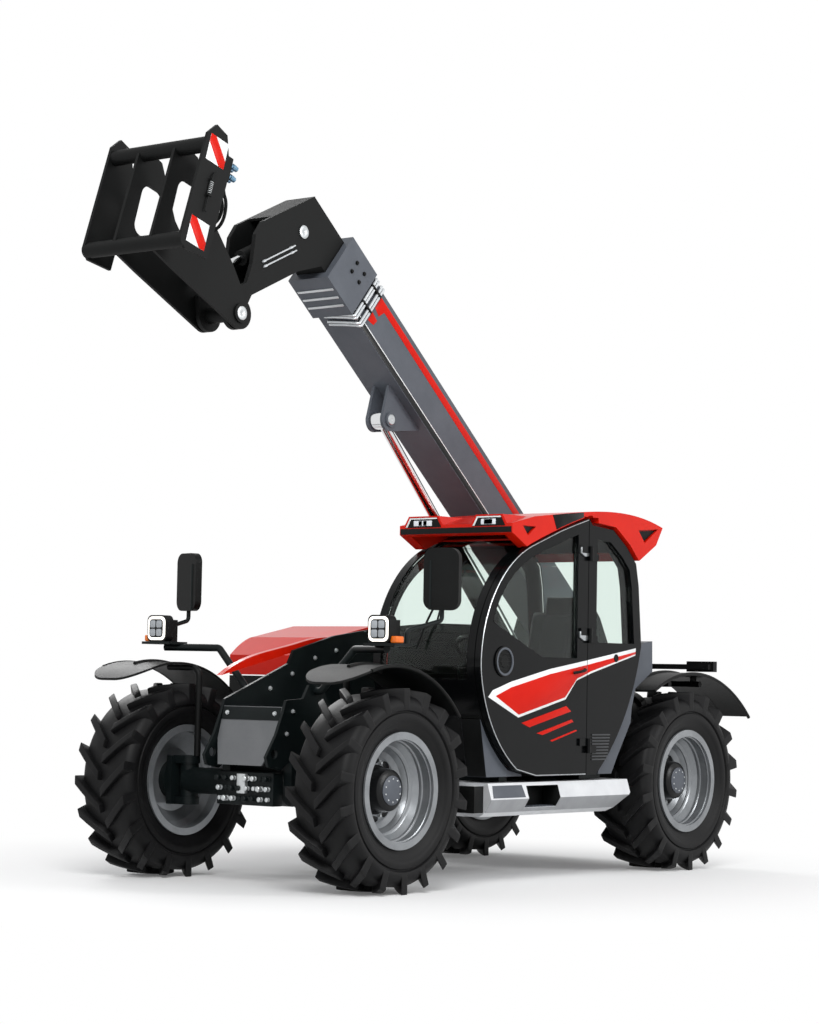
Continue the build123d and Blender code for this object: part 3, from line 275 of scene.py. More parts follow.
# Rear axle cover: a domed steel casting that closes the back of the axle housing.
# It is painted with the housing and held by a ring of screws.
axle_height, screw_circle = 580, 124
axle_cover = turned("rear_axle_cover", [(0, 0), (0, 135), (12, 135), (16, 128), (22, 112), (38, 84), (46, 40),
                                        (48, 0)], 36)
axle_cover.data.transform(facing(spot(0, 1625, axle_height), (0, 1, 0)))
settle(axle_cover, "chassis", frame_paint)
cover_screws = repeated("axle_cover_screws", screw, [
    facing(spot(screw_circle * math.cos(t), 1636, axle_height + screw_circle * math.sin(t)), (0, 1, 0))
    for t in [2 * math.pi * i / 12 for i in range(12)]], keep=True)
settle(cover_screws, "chassis", zinc)

# Tyres: traction tyres of black rubber, moulded with a smooth side wall, a rim rib and slanted lugs.
# The casing seats on the rim by its bead, and two rings of lugs stand staggered on its tread.
# Vulcanised rubber: dull black with a grey bloom and a pebbled skin.
rubber = worn_finish("vulcanised_rubber", "#070708", "#111112", 0.52, 0.1,
                     {"Specular IOR Level": 0.18}, (4.0, 0.25))
wall = [(157.7, 305.6), (157.7, 336), (164, 350), (172, 362), (177, 378), (184, 392), (190, 400), (193, 420),
        (191, 438), (183, 443), (183, 449), (195, 455), (199, 470), (196, 490), (186, 512), (170, 530), (150, 540),
        (75, 543)]
casing = turned("tyre_pattern", wall + [(0, 544)] + [(-along, radius) for along, radius in reversed(wall)], 96)
lug_count, lug_slant = 18, math.radians(42)
lug_length, lug_width, lug_foot, tyre_radius, tyre_half = 235, 48, 462, 580, 200
lug_reach = lug_length / 2 * math.sin(lug_slant) + lug_width / 2 * math.cos(lug_slant)
lug_outer = tyre_half - 1
lug_middle = lug_outer - lug_length / 2 * math.cos(lug_slant) - lug_width / 2 * math.sin(lug_slant)
lug_inner = lug_middle - lug_length / 2 * math.cos(lug_slant)
lug_rings = []
for hand in (-1, 1):
    bpy.ops.mesh.primitive_cube_add(size=1)
    lug = bpy.context.object
    worked((bpy.ops.mesh.subdivide, {"number_cuts": 3}))
    for vertex in lug.data.vertices:
        along, across, up = vertex.co
        axial = lug_inner + (lug_outer - lug_inner) * (along + 0.5)
        breadth = lug_width / math.cos(lug_slant) * (0.92 - 0.16 * up)
        around = (axial - lug_middle) * math.tan(lug_slant) + across * breadth
        radius = lug_foot + (tyre_radius - lug_foot) * (up + 0.5)
        turn = around / tyre_radius
        vertex.co = Vector((hand * axial, -radius * math.sin(turn), -radius * math.cos(turn))) / 1000
    worked(faces_outward)
    eased(lug, 0.004)
    first_turn = math.atan2(lug_reach, tyre_radius) - 2 * math.pi * (hand - 1) / 4 / lug_count
    lug_rings.append(repeated("lug_ring", lug, [
        Matrix.Rotation(first_turn - 2 * math.pi * i / lug_count, 4, "X") for i in range(lug_count)]))
tyre = joined("tyre_pattern", [casing, *lug_rings])
for corner in corners:
    hub_place = Matrix.Translation(joint_place[f"roll_{corner}"])
    own_tyre = repeated(f"traction_tyre_{corner}", tyre, [hub_place], keep=True)
    settle(own_tyre, f"wheel_{corner}", rubber)
    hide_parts(f"tyre_{corner}")
bpy.data.objects.remove(tyre)

# Rims: pressed steel in silver paint, deep on the outside, with oval hand holes round the disc, drawn as thin black
# ovals of painted shade.
# A black reduction hub stands out of each one, closed by a slate cap with screws.
# Silver paint: its flakes roll a soft metallic light round the barrel.
rim_paint = worn_finish("silver_rim_paint", "#7b7e81", "#96999c", 0.3, 0.05,
                        {"Metallic": 0.6, "Specular IOR Level": 0.4}, (3.0, 0.05))
dress(rim_paint, *[f"rim_{corner}" for corner in corners])
# Gloss enamel: black, with small sharp highlights on each turned edge. The same black is painted shade in the rims'
# hand holes and along the boom's lower corners.
black_paint_and_shade = worn_finish("gloss_black_paint_and_shade", "#0b0c0d", "#131415", 0.32, 0.05,
                        {"Specular IOR Level": 0.22}, (2.0, 0.06))
hole_count, hole_circle, nut_circle, cap_circle = 10, 0.167, 0.158, 0.066
hub = turned("hub_pattern", [(-29, 119), (-29, 141), (-16, 141), (-10, 128), (50, 124), (80, 118), (93, 100),
                             (96, 72), (96, 0), (91, 0), (91, 63), (81, 75), (51, 112)], 40)
hub_cap = turned("hub_cap_pattern", [(96, 0), (96, 84), (100, 84), (104, 78), (106, 30), (106, 0)], 40)
# Each hand hole is a thin gloss black oval laid on the disc: painted shade where the opening shows the dark inside
# of the wheel.
hole_outline = [Vector((-0.0305, 0.033 * math.cos(t), hole_circle + 0.018 * math.sin(t)))
                for t in [2 * math.pi * i / 20 for i in range(20)]]
hand_hole_shade = slab("hand_hole_shade_pattern", hole_outline, Vector((0.004, 0, 0)), 0.001)
barrel_rings = joined("barrel_ring_pattern", [
    turned("barrel_ring", profile, 64) for profile in (
        [(152, 293), (149, 285), (142, 285), (138, 293)], [(94, 293), (88, 283), (77, 281), (66, 287), (66, 293)],
        [(38, 261), (34, 249), (25, 241), (17, 242), (17, 250)])])
steps = [Matrix.Rotation(2 * math.pi * i / hole_count, 4, "X") for i in range(hole_count)]
for corner in corners:
    outward = Matrix.Identity(4) if corner.endswith("left") else Matrix.Rotation(math.pi, 4, "Z")
    wheel = Matrix.Translation(joint_place[f"roll_{corner}"]) @ outward
    nuts = [wheel @ step @ Matrix.Rotation(math.pi / hole_count, 4, "X") @ facing((-0.03, 0, nut_circle), (1, 0, 0))
            for step in steps]
    cap_screws = [wheel @ step @ facing((0.102, 0, cap_circle), (1, 0, 0)) @ Matrix.Diagonal((0.5, 0.5, 0.5, 1))
                  for step in steps]
    for name, pattern, places, finish, slot in (
            ("reduction_hub", hub, [wheel], black_paint_and_shade, "black_paint"),
            ("hub_cap", hub_cap, [wheel], slate_paint, "boom_paint"),
            ("hand_hole_shades", hand_hole_shade, [wheel @ step for step in steps], black_paint_and_shade, "black_paint"),
            ("rim_barrel_rings", barrel_rings, [wheel], rim_paint, "rim_paint"),
            ("wheel_nuts", screw, nuts + cap_screws, zinc, "zinc_pin")):
        settle(repeated(f"{name}_{corner}", pattern, places, keep=True), f"wheel_{corner}", finish)
for pattern in (hub, hub_cap, hand_hole_shade, barrel_rings):
    bpy.data.objects.remove(pattern)


# Fenders: leaves of moulded black plastic with a fine grain, on bent tubes.
# A rolled bead stiffens each outer edge, and a raised rib runs along the crown.
def arc(start, through, end, steps):
    """Points of the circle through three places of a side view."""
    (ay, az), (by, bz), (cy, cz) = start, through, end
    d = 2 * (ay * (bz - cz) + by * (cz - az) + cy * (az - bz))
    oy = ((ay * ay + az * az) * (bz - cz) + (by * by + bz * bz) * (cz - az) + (cy * cy + cz * cz) * (az - bz)) / d
    oz = ((ay * ay + az * az) * (cy - by) + (by * by + bz * bz) * (ay - cy) + (cy * cy + cz * cz) * (by - ay)) / d
    radius = math.hypot(ay - oy, az - oz)
    first, middle, last = [math.atan2(z - oz, y - oy) for y, z in (start, through, end)]
    way = 1 if math.sin(middle - first) > 0 else -1
    sweep = (way * (last - first)) % (2 * math.pi)
    turns = [first + way * sweep * i / steps for i in range(steps + 1)]
    return [(oy + radius * math.cos(t), oz + radius * math.sin(t)) for t in turns]


def pipe(name, points, radius, order=2):
    """A round bar or rigid tube along points: straight from one to the next, or in smooth bends."""
    bar = bpy.data.curves.new(name, "CURVE")
    bar.dimensions = "3D"
    bar.bevel_depth = radius
    bar.bevel_resolution = 3
    bar.use_fill_caps = True
    line = bar.splines.new("NURBS" if order > 2 else "POLY")
    line.points.add(len(points) - 1)
    for point, place in zip(line.points, points):
        point.co = (*place, 1)
    if order > 2:
        line.order_u = order
        line.use_endpoint_u = True
        line.resolution_u = 8
    piece = bpy.data.objects.new(name, bar)
    bpy.context.collection.objects.link(piece)
    take(piece)
    bpy.ops.object.convert(target="MESH")
    return bpy.context.object


# Moulded polypropylene: black, with a leather grain that breaks up every highlight. The same black is painted shade
# on the front faces of the sill and the step box.
grained_plastic_and_shade = worn_finish("grained_black_plastic_and_shade", "#090a0a", "#101111", 0.5, 0.06,
                              {"Specular IOR Level": 0.14}, (1.6, 0.3))
dress(grained_plastic_and_shade, "fender_front_left", "fender_front_right", "rear_fenders", "engine_cowl", "controls",
      "mirrors", "tail_lamps")


def moulded(piece, body):
    """Settles a piece in the grained black on the body that carries it; on the sheets on the sill's front, that
    black is painted shade.
    """
    settle(piece, body, grained_plastic_and_shade)


front_leaf = arc((-2020, 1182), (-1560, 1285), (-1040, 1005), 40)
rear_leaf = arc((1020, 1170), (1540, 1285), (2190, 1000), 40)
for hand, way in (("left", 1), ("right", -1)):
    for end, leaf, body in (("front", front_leaf[7:], f"knuckle_front_{hand}"), ("rear", rear_leaf, "chassis")):
        bead = [spot(way * 1046, y, z - 6) for y, z in leaf]
        moulded(pipe(f"fender_bead_{end}_{hand}", bead, 0.011), body)
        rib = [spot(way * 835, y, z + 1) for y, z in leaf[2:-2]]
        moulded(pipe(f"fender_rib_{end}_{hand}", rib, 0.014), body)

# Engine bay: a cast block under a black plastic cowl with louvres, and a hood of orange-red gelcoat.
# Two turn locks hold the lid, and a screwed rail runs along the cowl's foot.
# Sand-cast iron: rough and dark, without a shine.
cast_iron = worn_finish("cast_iron", "#2b2b2b", "#383736", 0.6, 0.08, grain=(2.0, 0.4))
dress(cast_iron, "engine_block")
# Gelcoat on glass fibre: a deep orange-red under a thin clear gloss.
red_gelcoat = worn_finish("orange_red_gelcoat", "#c01503", "#ca1c07", 0.3, 0.04,
                          {"Coat Weight": 0.12, "Coat Roughness": 0.12, "Specular IOR Level": 0.12})
dress(red_gelcoat, "hood", "cab_roof")
lock_ring = turned("lock_pattern", [(0, 0), (0, 24), (5, 24), (8, 20), (8, 15), (5, 13), (5, 0)], 24)
hood_locks = repeated("hood_lock", lock_ring, [facing(spot(-985, y, 1300), (-1, 0, 0)) for y in (-560, 480)],
                      keep=True)
settle(hood_locks, "hood", zinc)
cowl_rail = block("cowl_rail", (-998, -986), (-770, 745), (520, 575), 0.004)
settle(cowl_rail, "chassis", frame_paint)
cowl_screws = repeated("cowl_screws", screw, [facing(spot(-998, y, 547), (-1, 0, 0)) for y in range(-720, 740, 240)],
                       keep=True)
settle(cowl_screws, "chassis", zinc)

# Cab shell: welded tube clad in gloss black panels, with green-tinted safety glass bonded in.
# The door's edge has a bright sealing line, and its skin a red band with a pale border and three bars.
# Gloss panel paint: deep black with clear but weak reflections.
cab_black = worn_finish("gloss_black_panel", "#060708", "#0a0b0c", 0.2, 0.04, {"Specular IOR Level": 0.14})
dress(cab_black, "cab_frame", "cab_side", "door")
# Tinted glass: almost clear, with a cool green cast; its index is low so that thin panes hardly bend the view.
tinted_glass, _ = start_material("green_tinted_glass", {
    "Base Color": linear("#eff7f3"), "Transmission Weight": 1.0, "Roughness": 0.0, "IOR": 1.2,
    "Specular IOR Level": 0.3})
dress(tinted_glass, "cab_glass", "door_glass")
# Reflective film: nearly white, with a dull sheen. The same white is a painted highlight along the boom's lower
# corner.
pale_film_and_highlight = worn_finish("pale_film_and_painted_highlight", "#d9dbdb", "#e6e7e7", 0.4, 0.04, grain=(2.0, 0.04))
# Vinyl film: a flat orange-red without the gelcoat's depth.
red_film = worn_finish("red_vinyl_film", "#c01405", "#c81a09", 0.34, 0.04, {"Specular IOR Level": 0.1})
skin_x = 1016
door_band = [(-723, 1114), (-679, 1154), (-498, 1206), (-101, 1287), (287, 1345), (297, 1346.6), (297, 1253.5),
             (185, 1220), (70, 1104), (-419, 993)]
door_red = [(-650, 1120), (-497, 1172), (-101, 1256), (287, 1317), (297, 1318.5), (297, 1265), (192, 1233),
            (64, 1117), (-415, 1010)]
side_band = [(303, 1347.5), (842, 1433), (836, 1386), (342, 1267), (303, 1255)]
side_red = [(303, 1319.5), (841, 1410), (838, 1396), (342, 1280), (303, 1267)]
bars = ([(-387, 961), (-306, 935), (131, 1031), (78, 1064)], [(-230, 899), (-167, 888), (158, 967), (138, 982)],
        [(-90, 854), (-64, 848), (199, 912), (186, 919)])


def side_slab(name, outline, x, thickness, edge=0.0004):
    """A thin plate square across the machine, from a side view's outline."""
    return slab(name, [spot(x, y, z) for y, z in outline], Vector((thickness / 1000, 0, 0)), edge)


settle(side_slab("door_band_border", door_band, skin_x + 0.2, 1.2), "door", pale_film_and_highlight)
settle(side_slab("side_band_border", side_band, skin_x + 0.2, 1.2), "chassis", pale_film_and_highlight)
settle(joined("door_red_band", [side_slab("band", door_red, skin_x + 1, 1.4)]
              + [side_slab("bar", bar, skin_x + 0.2, 1.6) for bar in bars]), "door", red_film)
settle(side_slab("side_red_band", side_red, skin_x + 1, 1.4), "chassis", red_film)
door_edge = (arc((-799, 1290), (-650, 1761), (-306, 2023), 24)[::-1]
             + arc((-799, 1290), (-675, 932), (-428, 686), 16)[1:])
door_line = [(294, 2218), (140, 2175), (-9, 2130)] + door_edge + [(-230, 646), (294, 646)]
# Anodised aluminium: a thin bright line that catches the light along the door.
bright_trim = worn_finish("anodised_trim", "#a9adb0", "#c3c6c8", 0.28, 0.05, {"Metallic": 0.9})
edge_line = pipe("door_edge_line", [spot(skin_x + 1, y, z) for y, z in door_line], 0.0035)
settle(edge_line, "door", bright_trim)
vent_y, vent_z = -575, 1325
vent_place = facing(spot(skin_x, vent_y, vent_z), (1, 0, 0))
vent = turned("door_vent", [(0, 0), (0, 88), (8, 92), (13, 88), (13, 78), (7, 72), (5, 40), (9, 34), (9, 0)], 40)
vent.data.transform(vent_place)
moulded(vent, "door")
vent_rim = turned("door_vent_rim", [(8, 72), (8, 84), (14, 84), (15, 78), (14, 72)], 40)
vent_rim.data.transform(vent_place)
settle(vent_rim, "door", slate_paint)
vent_slats = joined("door_vent_slats", [
    block("slat", (skin_x + 5, skin_x + 10), (vent_y - half, vent_y + half), (vent_z + z, vent_z + z + 6), 0.001)
    for z, half in ((-52, 40), (-28, 60), (-4, 66), (20, 62), (44, 46))])
moulded(vent_slats, "door")
hinge_plates = joined("hinge_plates", [
    side_slab("hinge_plate", [(205, z + 8), (250, z - 12), (290, z - 8), (290, z + 52), (205, z + 46)],
              skin_x, 12, 0.0015) for z in (1478, 2000)])
settle(hinge_plates, "door", bright_trim)
side_lock = repeated("side_lock", lock_ring, [facing(spot(skin_x, 616, 1366), (1, 0, 0))], keep=True)
moulded(side_lock, "chassis")
louvres = joined("side_louvres", [
    block("louvre", (skin_x, skin_x + 6), (358, 520 + (z - 700) * 0.2), (z, z + 9), 0.0015)
    for z in range(730, 890, 19)])
# Dark grey plastic: just lighter than the panel, so that the slots show.
louvre_grey = worn_finish("moulded_dark_grey_plastic", "#2a2c2f", "#333538", 0.5, 0.05)
settle(louvres, "chassis", louvre_grey)
door_pull = pipe("door_pull", [spot(skin_x + out, y, z) for out, y, z in (
    (4, 150, 1268), (30, 165, 1271), (30, 255, 1287), (4, 270, 1290))], 0.009, 3)
moulded(door_pull, "door")
wiper_arc = arc((-820, 1330), (-700, 1716), (-480, 1945), 24)
wiper = joined("screen_wiper", [
    pipe("wiper_arm", [spot(560 + 8 * i, y - 12, z + 6) for i, (y, z) in enumerate(wiper_arc[2:16])], 0.007),
    pipe("wiper_blade", [spot(672, y - 4, z + 2) for y, z in wiper_arc[6:24]], 0.006)])
moulded(wiper, "chassis")

# Inner trim: a moulded panel closes the lower part of the right window, with ribs along it.
# It clips to the inner wall and hides the engine hood from the driver's knees.
trim_x, trim_thickness = 263, 6
trim_outline = [(-690, 1060), (420, 1060), (420, 1565), (-300, 1560), (-735, 1525), (-742, 1200)]
inner_trim = joined("right_inner_trim", [
    side_slab("panel", trim_outline, trim_x, trim_thickness, 0.0015),
    *[side_slab("rib", [(-640, z), (380, z + 8), (380, z + 22), (-640, z + 14)], trim_x + trim_thickness, 7, 0.002)
      for z in range(1130, 1500, 52)]])
moulded(inner_trim, "chassis")


# Roof: a moulded cap with two lamp pods in front and an open corner at each end.
# Black inserts fill the pods and corners, and pale strips and lamp lenses sit in them.
def front_slab(name, outline, y, thickness, edge=0.001):
    """A thin plate square to the machine's length, from a front view's outline."""
    return slab(name, [spot(x, y, z) for x, z in outline], Vector((0, thickness / 1000, 0)), edge)


# Moulded lens: pale and smooth, with small clear highlights.
lens = worn_finish("moulded_lamp_lens", "#d9dde2", "#e6e9ee", 0.12, 0.03)
pod_back, pod_front = -532.5, -536
inserts, strips, roof_lenses = [], [], []
for low, high in ((200, 520), (714, 1004)):
    pod = [(low + 22, 2138), (high - 22, 2138), (high - 56, 2198), (low + 56, 2198)]
    inserts.append(front_slab("pod_insert", pod, pod_back, -4))
    for strip in ([(low + 52, 2188), (high - 52, 2188), (high - 57, 2196), (low + 57, 2196)],
                  [(low + 26, 2140), (low + 40, 2140), (low + 66, 2188), (low + 53, 2188)]):
        strips.append(front_slab("pod_strip", strip, pod_front, -3))
    for x in (low + 90, (low + high) / 2 - 34, high - 158):
        roof_lenses.append(block("roof_lamp", (x, x + 68), (pod_front - 6, pod_front), (2146, 2180), 0.004))
inserts.append(block("brow_panel", (182, 1028), (pod_back - 3, pod_back), (2097, 2132), 0.001))
inserts.append(block("beak_lining", (252, 956), (-504, -12), (2104, 2109.5), 0.001))
for open_corner in (((840, 2178), (1046, 2194), (906, 2114)), ((-416, 2139), (-299, 2139), (-371, 2091))):
    for x, thickness in ((1012.5, 8), (196.5, -8)):
        inserts.append(side_slab("corner_insert", open_corner, x, thickness, 0.001))
roof_film = side_slab("roof_side_film", [(-118, 2224), (0, 2239), (215, 2260), (215, 2229), (100, 2195), (0, 2163),
                                         (-75, 2138)], 1034.2, 1.2)
settle(roof_film, "chassis", cab_black)
moulded(joined("roof_inserts", inserts), "chassis")
settle(joined("roof_strips", strips), "chassis", pale_film_and_highlight)
settle(joined("roof_lamps", roof_lenses), "chassis", lens)

# Driver's seat: foam cushions in woven black cloth on a plastic box, with sewn channels down the back.
# Each cushion is crowned, and its sides pull in between the corners.
# Woven cloth: matt charcoal, with a faint sheen where it turns away.
cloth = worn_finish("woven_seat_cloth", "#141517", "#202124", 0.85, 0.05, {"Sheen Weight": 0.3}, (2.5, 0.5))


def cushion(name, middle, size, lean, channels):
    """A crowned cushion: a cube subdivided, swelled between its seams and drawn in at its sides."""
    bpy.ops.mesh.primitive_cube_add(size=2)
    pad = bpy.context.object
    pad.name = name
    worked((bpy.ops.mesh.subdivide, {"number_cuts": 23}))
    for vertex in pad.data.vertices:
        u, v, w = vertex.co
        reach = max(abs(u), abs(v))
        crown = 0.4 + 0.6 * max(0.0, 1 - reach ** 6) ** 0.4
        crown += 0.2 * math.exp(-((abs(u) - 0.78) / 0.13) ** 2) * max(0.0, 1 - reach ** 10) - 0.2
        for channel in channels:
            crown -= 0.14 * math.exp(-((abs(u) - channel) / 0.045) ** 2) * (1 - abs(v) ** 6)
        pull = 0.95 + 0.02 * (u * v) ** 2 + 0.03 * (1 - w * w)
        vertex.co = (u * pull * size[0] / 2, v * pull * size[1] / 2, w * crown * size[2] / 2)
    pad.data.transform(Matrix.Translation(middle) @ Matrix.Rotation(math.radians(lean), 4, "X"))
    take(pad)
    bpy.ops.object.modifier_add(type="SUBSURF")
    rounding = pad.modifiers[-1]
    rounding.levels = rounding.render_levels = 1
    bpy.ops.object.modifier_apply(modifier=rounding.name)
    settle(pad, "chassis", cloth)
    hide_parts("seat")


seat_x = 587.5
seat_box = block("seat_box", (seat_x - 178, seat_x + 178), (45, 315), (697, 1007), 0.012)
moulded(seat_box, "chassis")
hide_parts("seat")
cushion("seat_base_cushion", spot(seat_x, 315, 1072), (0.476, 0.49, 0.165), 4, (0.52,))
cushion("seat_back_cushion", spot(seat_x, 572, 1385), (0.456, 0.56, 0.15), 76, (0.52,))
cushion("seat_head_cushion", spot(seat_x, 640, 1670), (0.27, 0.17, 0.09), 78, ())
column_cover = side_slab("column_cover", [(-285, 1250), (-95, 1180), (-110, 1300), (-215, 1352), (-300, 1345)],
                         seat_x - 75, 150, 0.015)
moulded(column_cover, "chassis")
levers = joined("console_levers", [
    pipe("stick", [spot(300, y, 1150), spot(305, y - 8, 1235), spot(302, y - 25, 1300)], 0.009, 3)
    for y in (-60, 40)])
moulded(levers, "chassis")

# Step box: folded aluminium with brushed faces, a dark inset and a ribbed tread in the foot pocket.
# It is bolted under the cab. Thin black sheets on the front faces of the sill and the box are painted shade, and the
# skirt below is aluminium with painted shade.
# Brushed aluminium: pale grey metal with broad soft highlights.
step_metal = worn_finish("brushed_aluminium", "#cfd1d4", "#e0e2e4", 0.36, 0.06, {"Metallic": 0.45}, (2.0, 0.08))
dress(step_metal, "step_box")
upper_slope = Vector((0.953, 0, 0.301))
step_inset = joined("step_inset", [
    slab("inset", [spot(1018, -655, 518), spot(1018, -330, 518), spot(995, -345, 590), spot(995, -640, 590)],
         upper_slope * 0.002, 0.0006),
    *[block("rib", (885, 985), (y, y + 14), (455.5, 461.5), 0.0015) for y in range(-285, 10, 34)]])
settle(step_inset, "chassis", slate_paint)
pocket_side = [(881, 456), (984, 456), (1018, 510), (995, 584), (881, 584)]
pocket_lining = joined("step_pocket_lining", [
    block("back", (880.2, 882.2), (-298, 28), (456, 584), 0.0005),
    block("ceiling", (883, 994), (-298, 28), (582.8, 584.8), 0.0005),
    front_slab("front", pocket_side, -299.8, 1.5, 0.0004),
    front_slab("rear", pocket_side, 29.8, -1.5, 0.0004)])
moulded(pocket_lining, "chassis")
# Thin black sheets on the front faces of the sill and of the step box's front end: painted shade, on faces of the
# same metal as their sides.
front_face_shade = joined("front_face_shade", [
    slab("cover", [spot(inner, y0, z0), spot(outer, y0, z0), spot(outer, y1, z1), spot(inner, y1, z1)],
         Vector((0, z1 - z0, y0 - y1)).normalized() * -0.002, 0.0006)
    for inner, outer, y0, z0, y1, z1 in ((700, 962, -770, 431, -770, 589), (812, 953, -714.5, 986, -765, 1138),
                                         (812, 953, -646, 642, -713.5, 982))]
    + [block("end", (960, 962), (-772, -681), (431, 589), 0.0006)])
moulded(front_face_shade, "chassis")
lower_slope = Vector((0.848, 0, -0.530))
fold_x, fold_z, foot_x, foot_z = 1019.5, 509, 971, 431.4
# The skirt is thin sheets on the step box's lower slope, in the same aluminium painted darker: painted shade.
skirt_shade_faces = []
for low, high, foot, top in ((-679.5, -301, -301, fold_z), (-301, 31, 31, 452), (31, 780, 679, fold_z)):
    top_x = fold_x - (fold_z - top) * 0.625
    skirt_shade_faces.append(slab("skirt", [spot(top_x, low, top), spot(top_x, high, top), spot(foot_x, foot, foot_z),
                                      spot(foot_x, low, foot_z)], lower_slope * 0.0015, 0.0004))
skirt = joined("step_skirt_shade", skirt_shade_faces)
# Aluminium with painted shade: greyer and duller than the brushed faces above it, because the lower slope faces
# down.
shaded_aluminium = worn_finish("aluminium_with_painted_shade", "#8f9194", "#a5a7aa", 0.42, 0.06,
                         {"Metallic": 0.45}, (2.0, 0.08))
settle(skirt, "chassis", shaded_aluminium)

# Headlamps: rounded housings with a bright ring of diodes round a dark bowl.
# Amber indicators stand beside them, and the mirrors are silvered glass in a plastic shell.
dress(grained_plastic_and_shade, "headlamps")
# Diodes behind a diffuser: an even warm white glow.
diode_light, _ = start_material("diode_ring_light", {
    "Base Color": linear("#ffffff"), "Emission Color": linear("#fff8ea"), "Emission Strength": 1.4,
    "Roughness": 0.3})
# Amber acrylic: a warm orange with a wet gloss.
amber = worn_finish("amber_lens", "#d9630a", "#ea7a14", 0.2, 0.04)
# Silvered glass: a clean mirror.
mirror_glass, _ = start_material("silvered_glass", {
    "Base Color": linear("#c9ced2"), "Metallic": 1.0, "Roughness": 0.04})


def rounded(x, y, z, width, height, round_off):
    """Outline of an upright rounded rectangle that faces along y."""
    return [spot(x + sx * (width / 2 - round_off) + round_off * math.cos(t), y,
                 z + sz * (height / 2 - round_off) + round_off * math.sin(t))
            for sx, sz, first in ((1, 1, 0), (-1, 1, 90), (-1, -1, 180), (1, -1, 270))
            for t in [math.radians(first + 15 * i) for i in range(7)]]


diode_rings, bowls, cells, stays, ambers, glasses = [], [], [], [], [], []
for way in (1, -1):
    x, face_y, z = way * 870, -1575.5, 1491
    diode_rings.append(slab("ring", rounded(x, face_y, z, 142, 142, 32), Vector((0, -0.004, 0)), 0.001))
    bowls.append(slab("bowl", rounded(x, face_y - 4, z, 112, 112, 24), Vector((0, -0.004, 0)), 0.0012))
    for side, up in ((-1, -1), (-1, 1), (1, -1), (1, 1)):
        cells.append(slab("cell", rounded(x + side * 26, face_y - 8, z + up * 26, 44, 44, 10),
                          Vector((0, -0.002, 0)), 0.0008))
    stays.append(pipe("stay", [spot(way * 940, -1198, height) for height in (1612, 1900)], 0.009))
    ambers.append(slab("amber", rounded(x + way * 95, -1560, 1432, 44, 40, 10), Vector((0, 0.07, 0)), 0.005))
    turn = math.radians(way * 15)
    back = Vector((-math.sin(turn), math.cos(turn), 0))
    across = Vector((math.cos(turn), math.sin(turn), 0))
    centre = spot(way * 1000, -1160, 1790) + back * 0.0235
    outline = [centre + across * point.x + Vector((0, 0, point.z)) for point in rounded(0, 0, 0, 196, 336, 50)]
    glasses.append(slab("mirror_glass", outline, back * 0.003, 0.001))
settle(joined("headlamp_diodes", diode_rings), "chassis", diode_light)
# Prismed lens: mid grey, with reflections broken by its prisms.
cell_lens = worn_finish("prismed_lamp_lens", "#8d9297", "#b0b4b8", 0.2, 0.05, grain=(2.0, 0.3))
settle(joined("headlamp_cells", cells), "chassis", cell_lens)
settle(joined("mirror_stays", stays), "chassis", frame_paint)
settle(joined("headlamp_bowls", bowls), "chassis", black_paint_and_shade)
settle(joined("indicator_lenses", ambers), "chassis", amber)
settle(joined("mirror_faces", glasses), "chassis", mirror_glass)

# Tail lamps: a red and an amber lens on each black box behind the rear fenders.
# The lenses are moulded acrylic, clipped into the box.
# Red acrylic: deep and glossy, darker than the paint.
tail_red = worn_finish("red_lamp_lens", "#8c0f08", "#a3140c", 0.2, 0.04)
reds, yellows = [], []
for way in (1, -1):
    for low, high, lot in ((798, 892, reds), (900, 992, yellows)):
        lot.append(block("lens", (way * low, way * high), (1850.5, 1858.5), (1302, 1358), 0.003))
settle(joined("tail_lenses_red", reds), "chassis", tail_red)
settle(joined("tail_lenses_amber", yellows), "chassis", amber)

# Boom: a slate grey box section with a collar of screwed plates and bright steel tubes across its front end.
# Each side has a red film along the upper edge that hooks down at the collar. Along the lower corner, a black band
# is painted shade and a pale line above it is a painted highlight.
# Black boom paint: nearly matt, with wide dull highlights.
boom_black = worn_finish("black_boom_paint", "#090a0a", "#0f1010", 0.6, 0.05,
                         {"Specular IOR Level": 0.16}, (3.0, 0.06))
dress(boom_black, "inner_boom", "carriage_bracket", "carriage_frame", "lift_barrel", "tilt_barrel")
# Hard chrome: a bright mirror, softened a little by grinding.
chrome = worn_finish("hard_chrome", "#d8dadb", "#e4e5e6", 0.14, 0.03, {"Metallic": 1.0})
dress(chrome, "lift_rod", "tilt_rod")


def leaning(foot, degrees):
    """The ways along and square to a part that leans in side view, and the function of its places."""
    turn = math.radians(degrees)
    along = Vector((0, -math.cos(turn), math.sin(turn)))
    square = Vector((0, math.sin(turn), math.cos(turn)))

    def place(x, a, n):
        """A place on the part, from millimetres across, along and square to it."""
        return foot + (Vector((x, 0, 0)) + along * a + square * n) / 1000

    return along, square, place


boom_stance = 40
_, boom_up, on_boom = leaning(Vector((0, *joint_place["boom_lift"].yz)), boom_stance)
boom_side, lift_eye = 135.2, (2255, -330)
stripe = [(520, 62), (520, 112), (2872, 112), (2872, 20), (2812, 5), (2790, 62)]
stub = [(2872, -18), (2872, -88), (2812, -72), (2804, -26)]
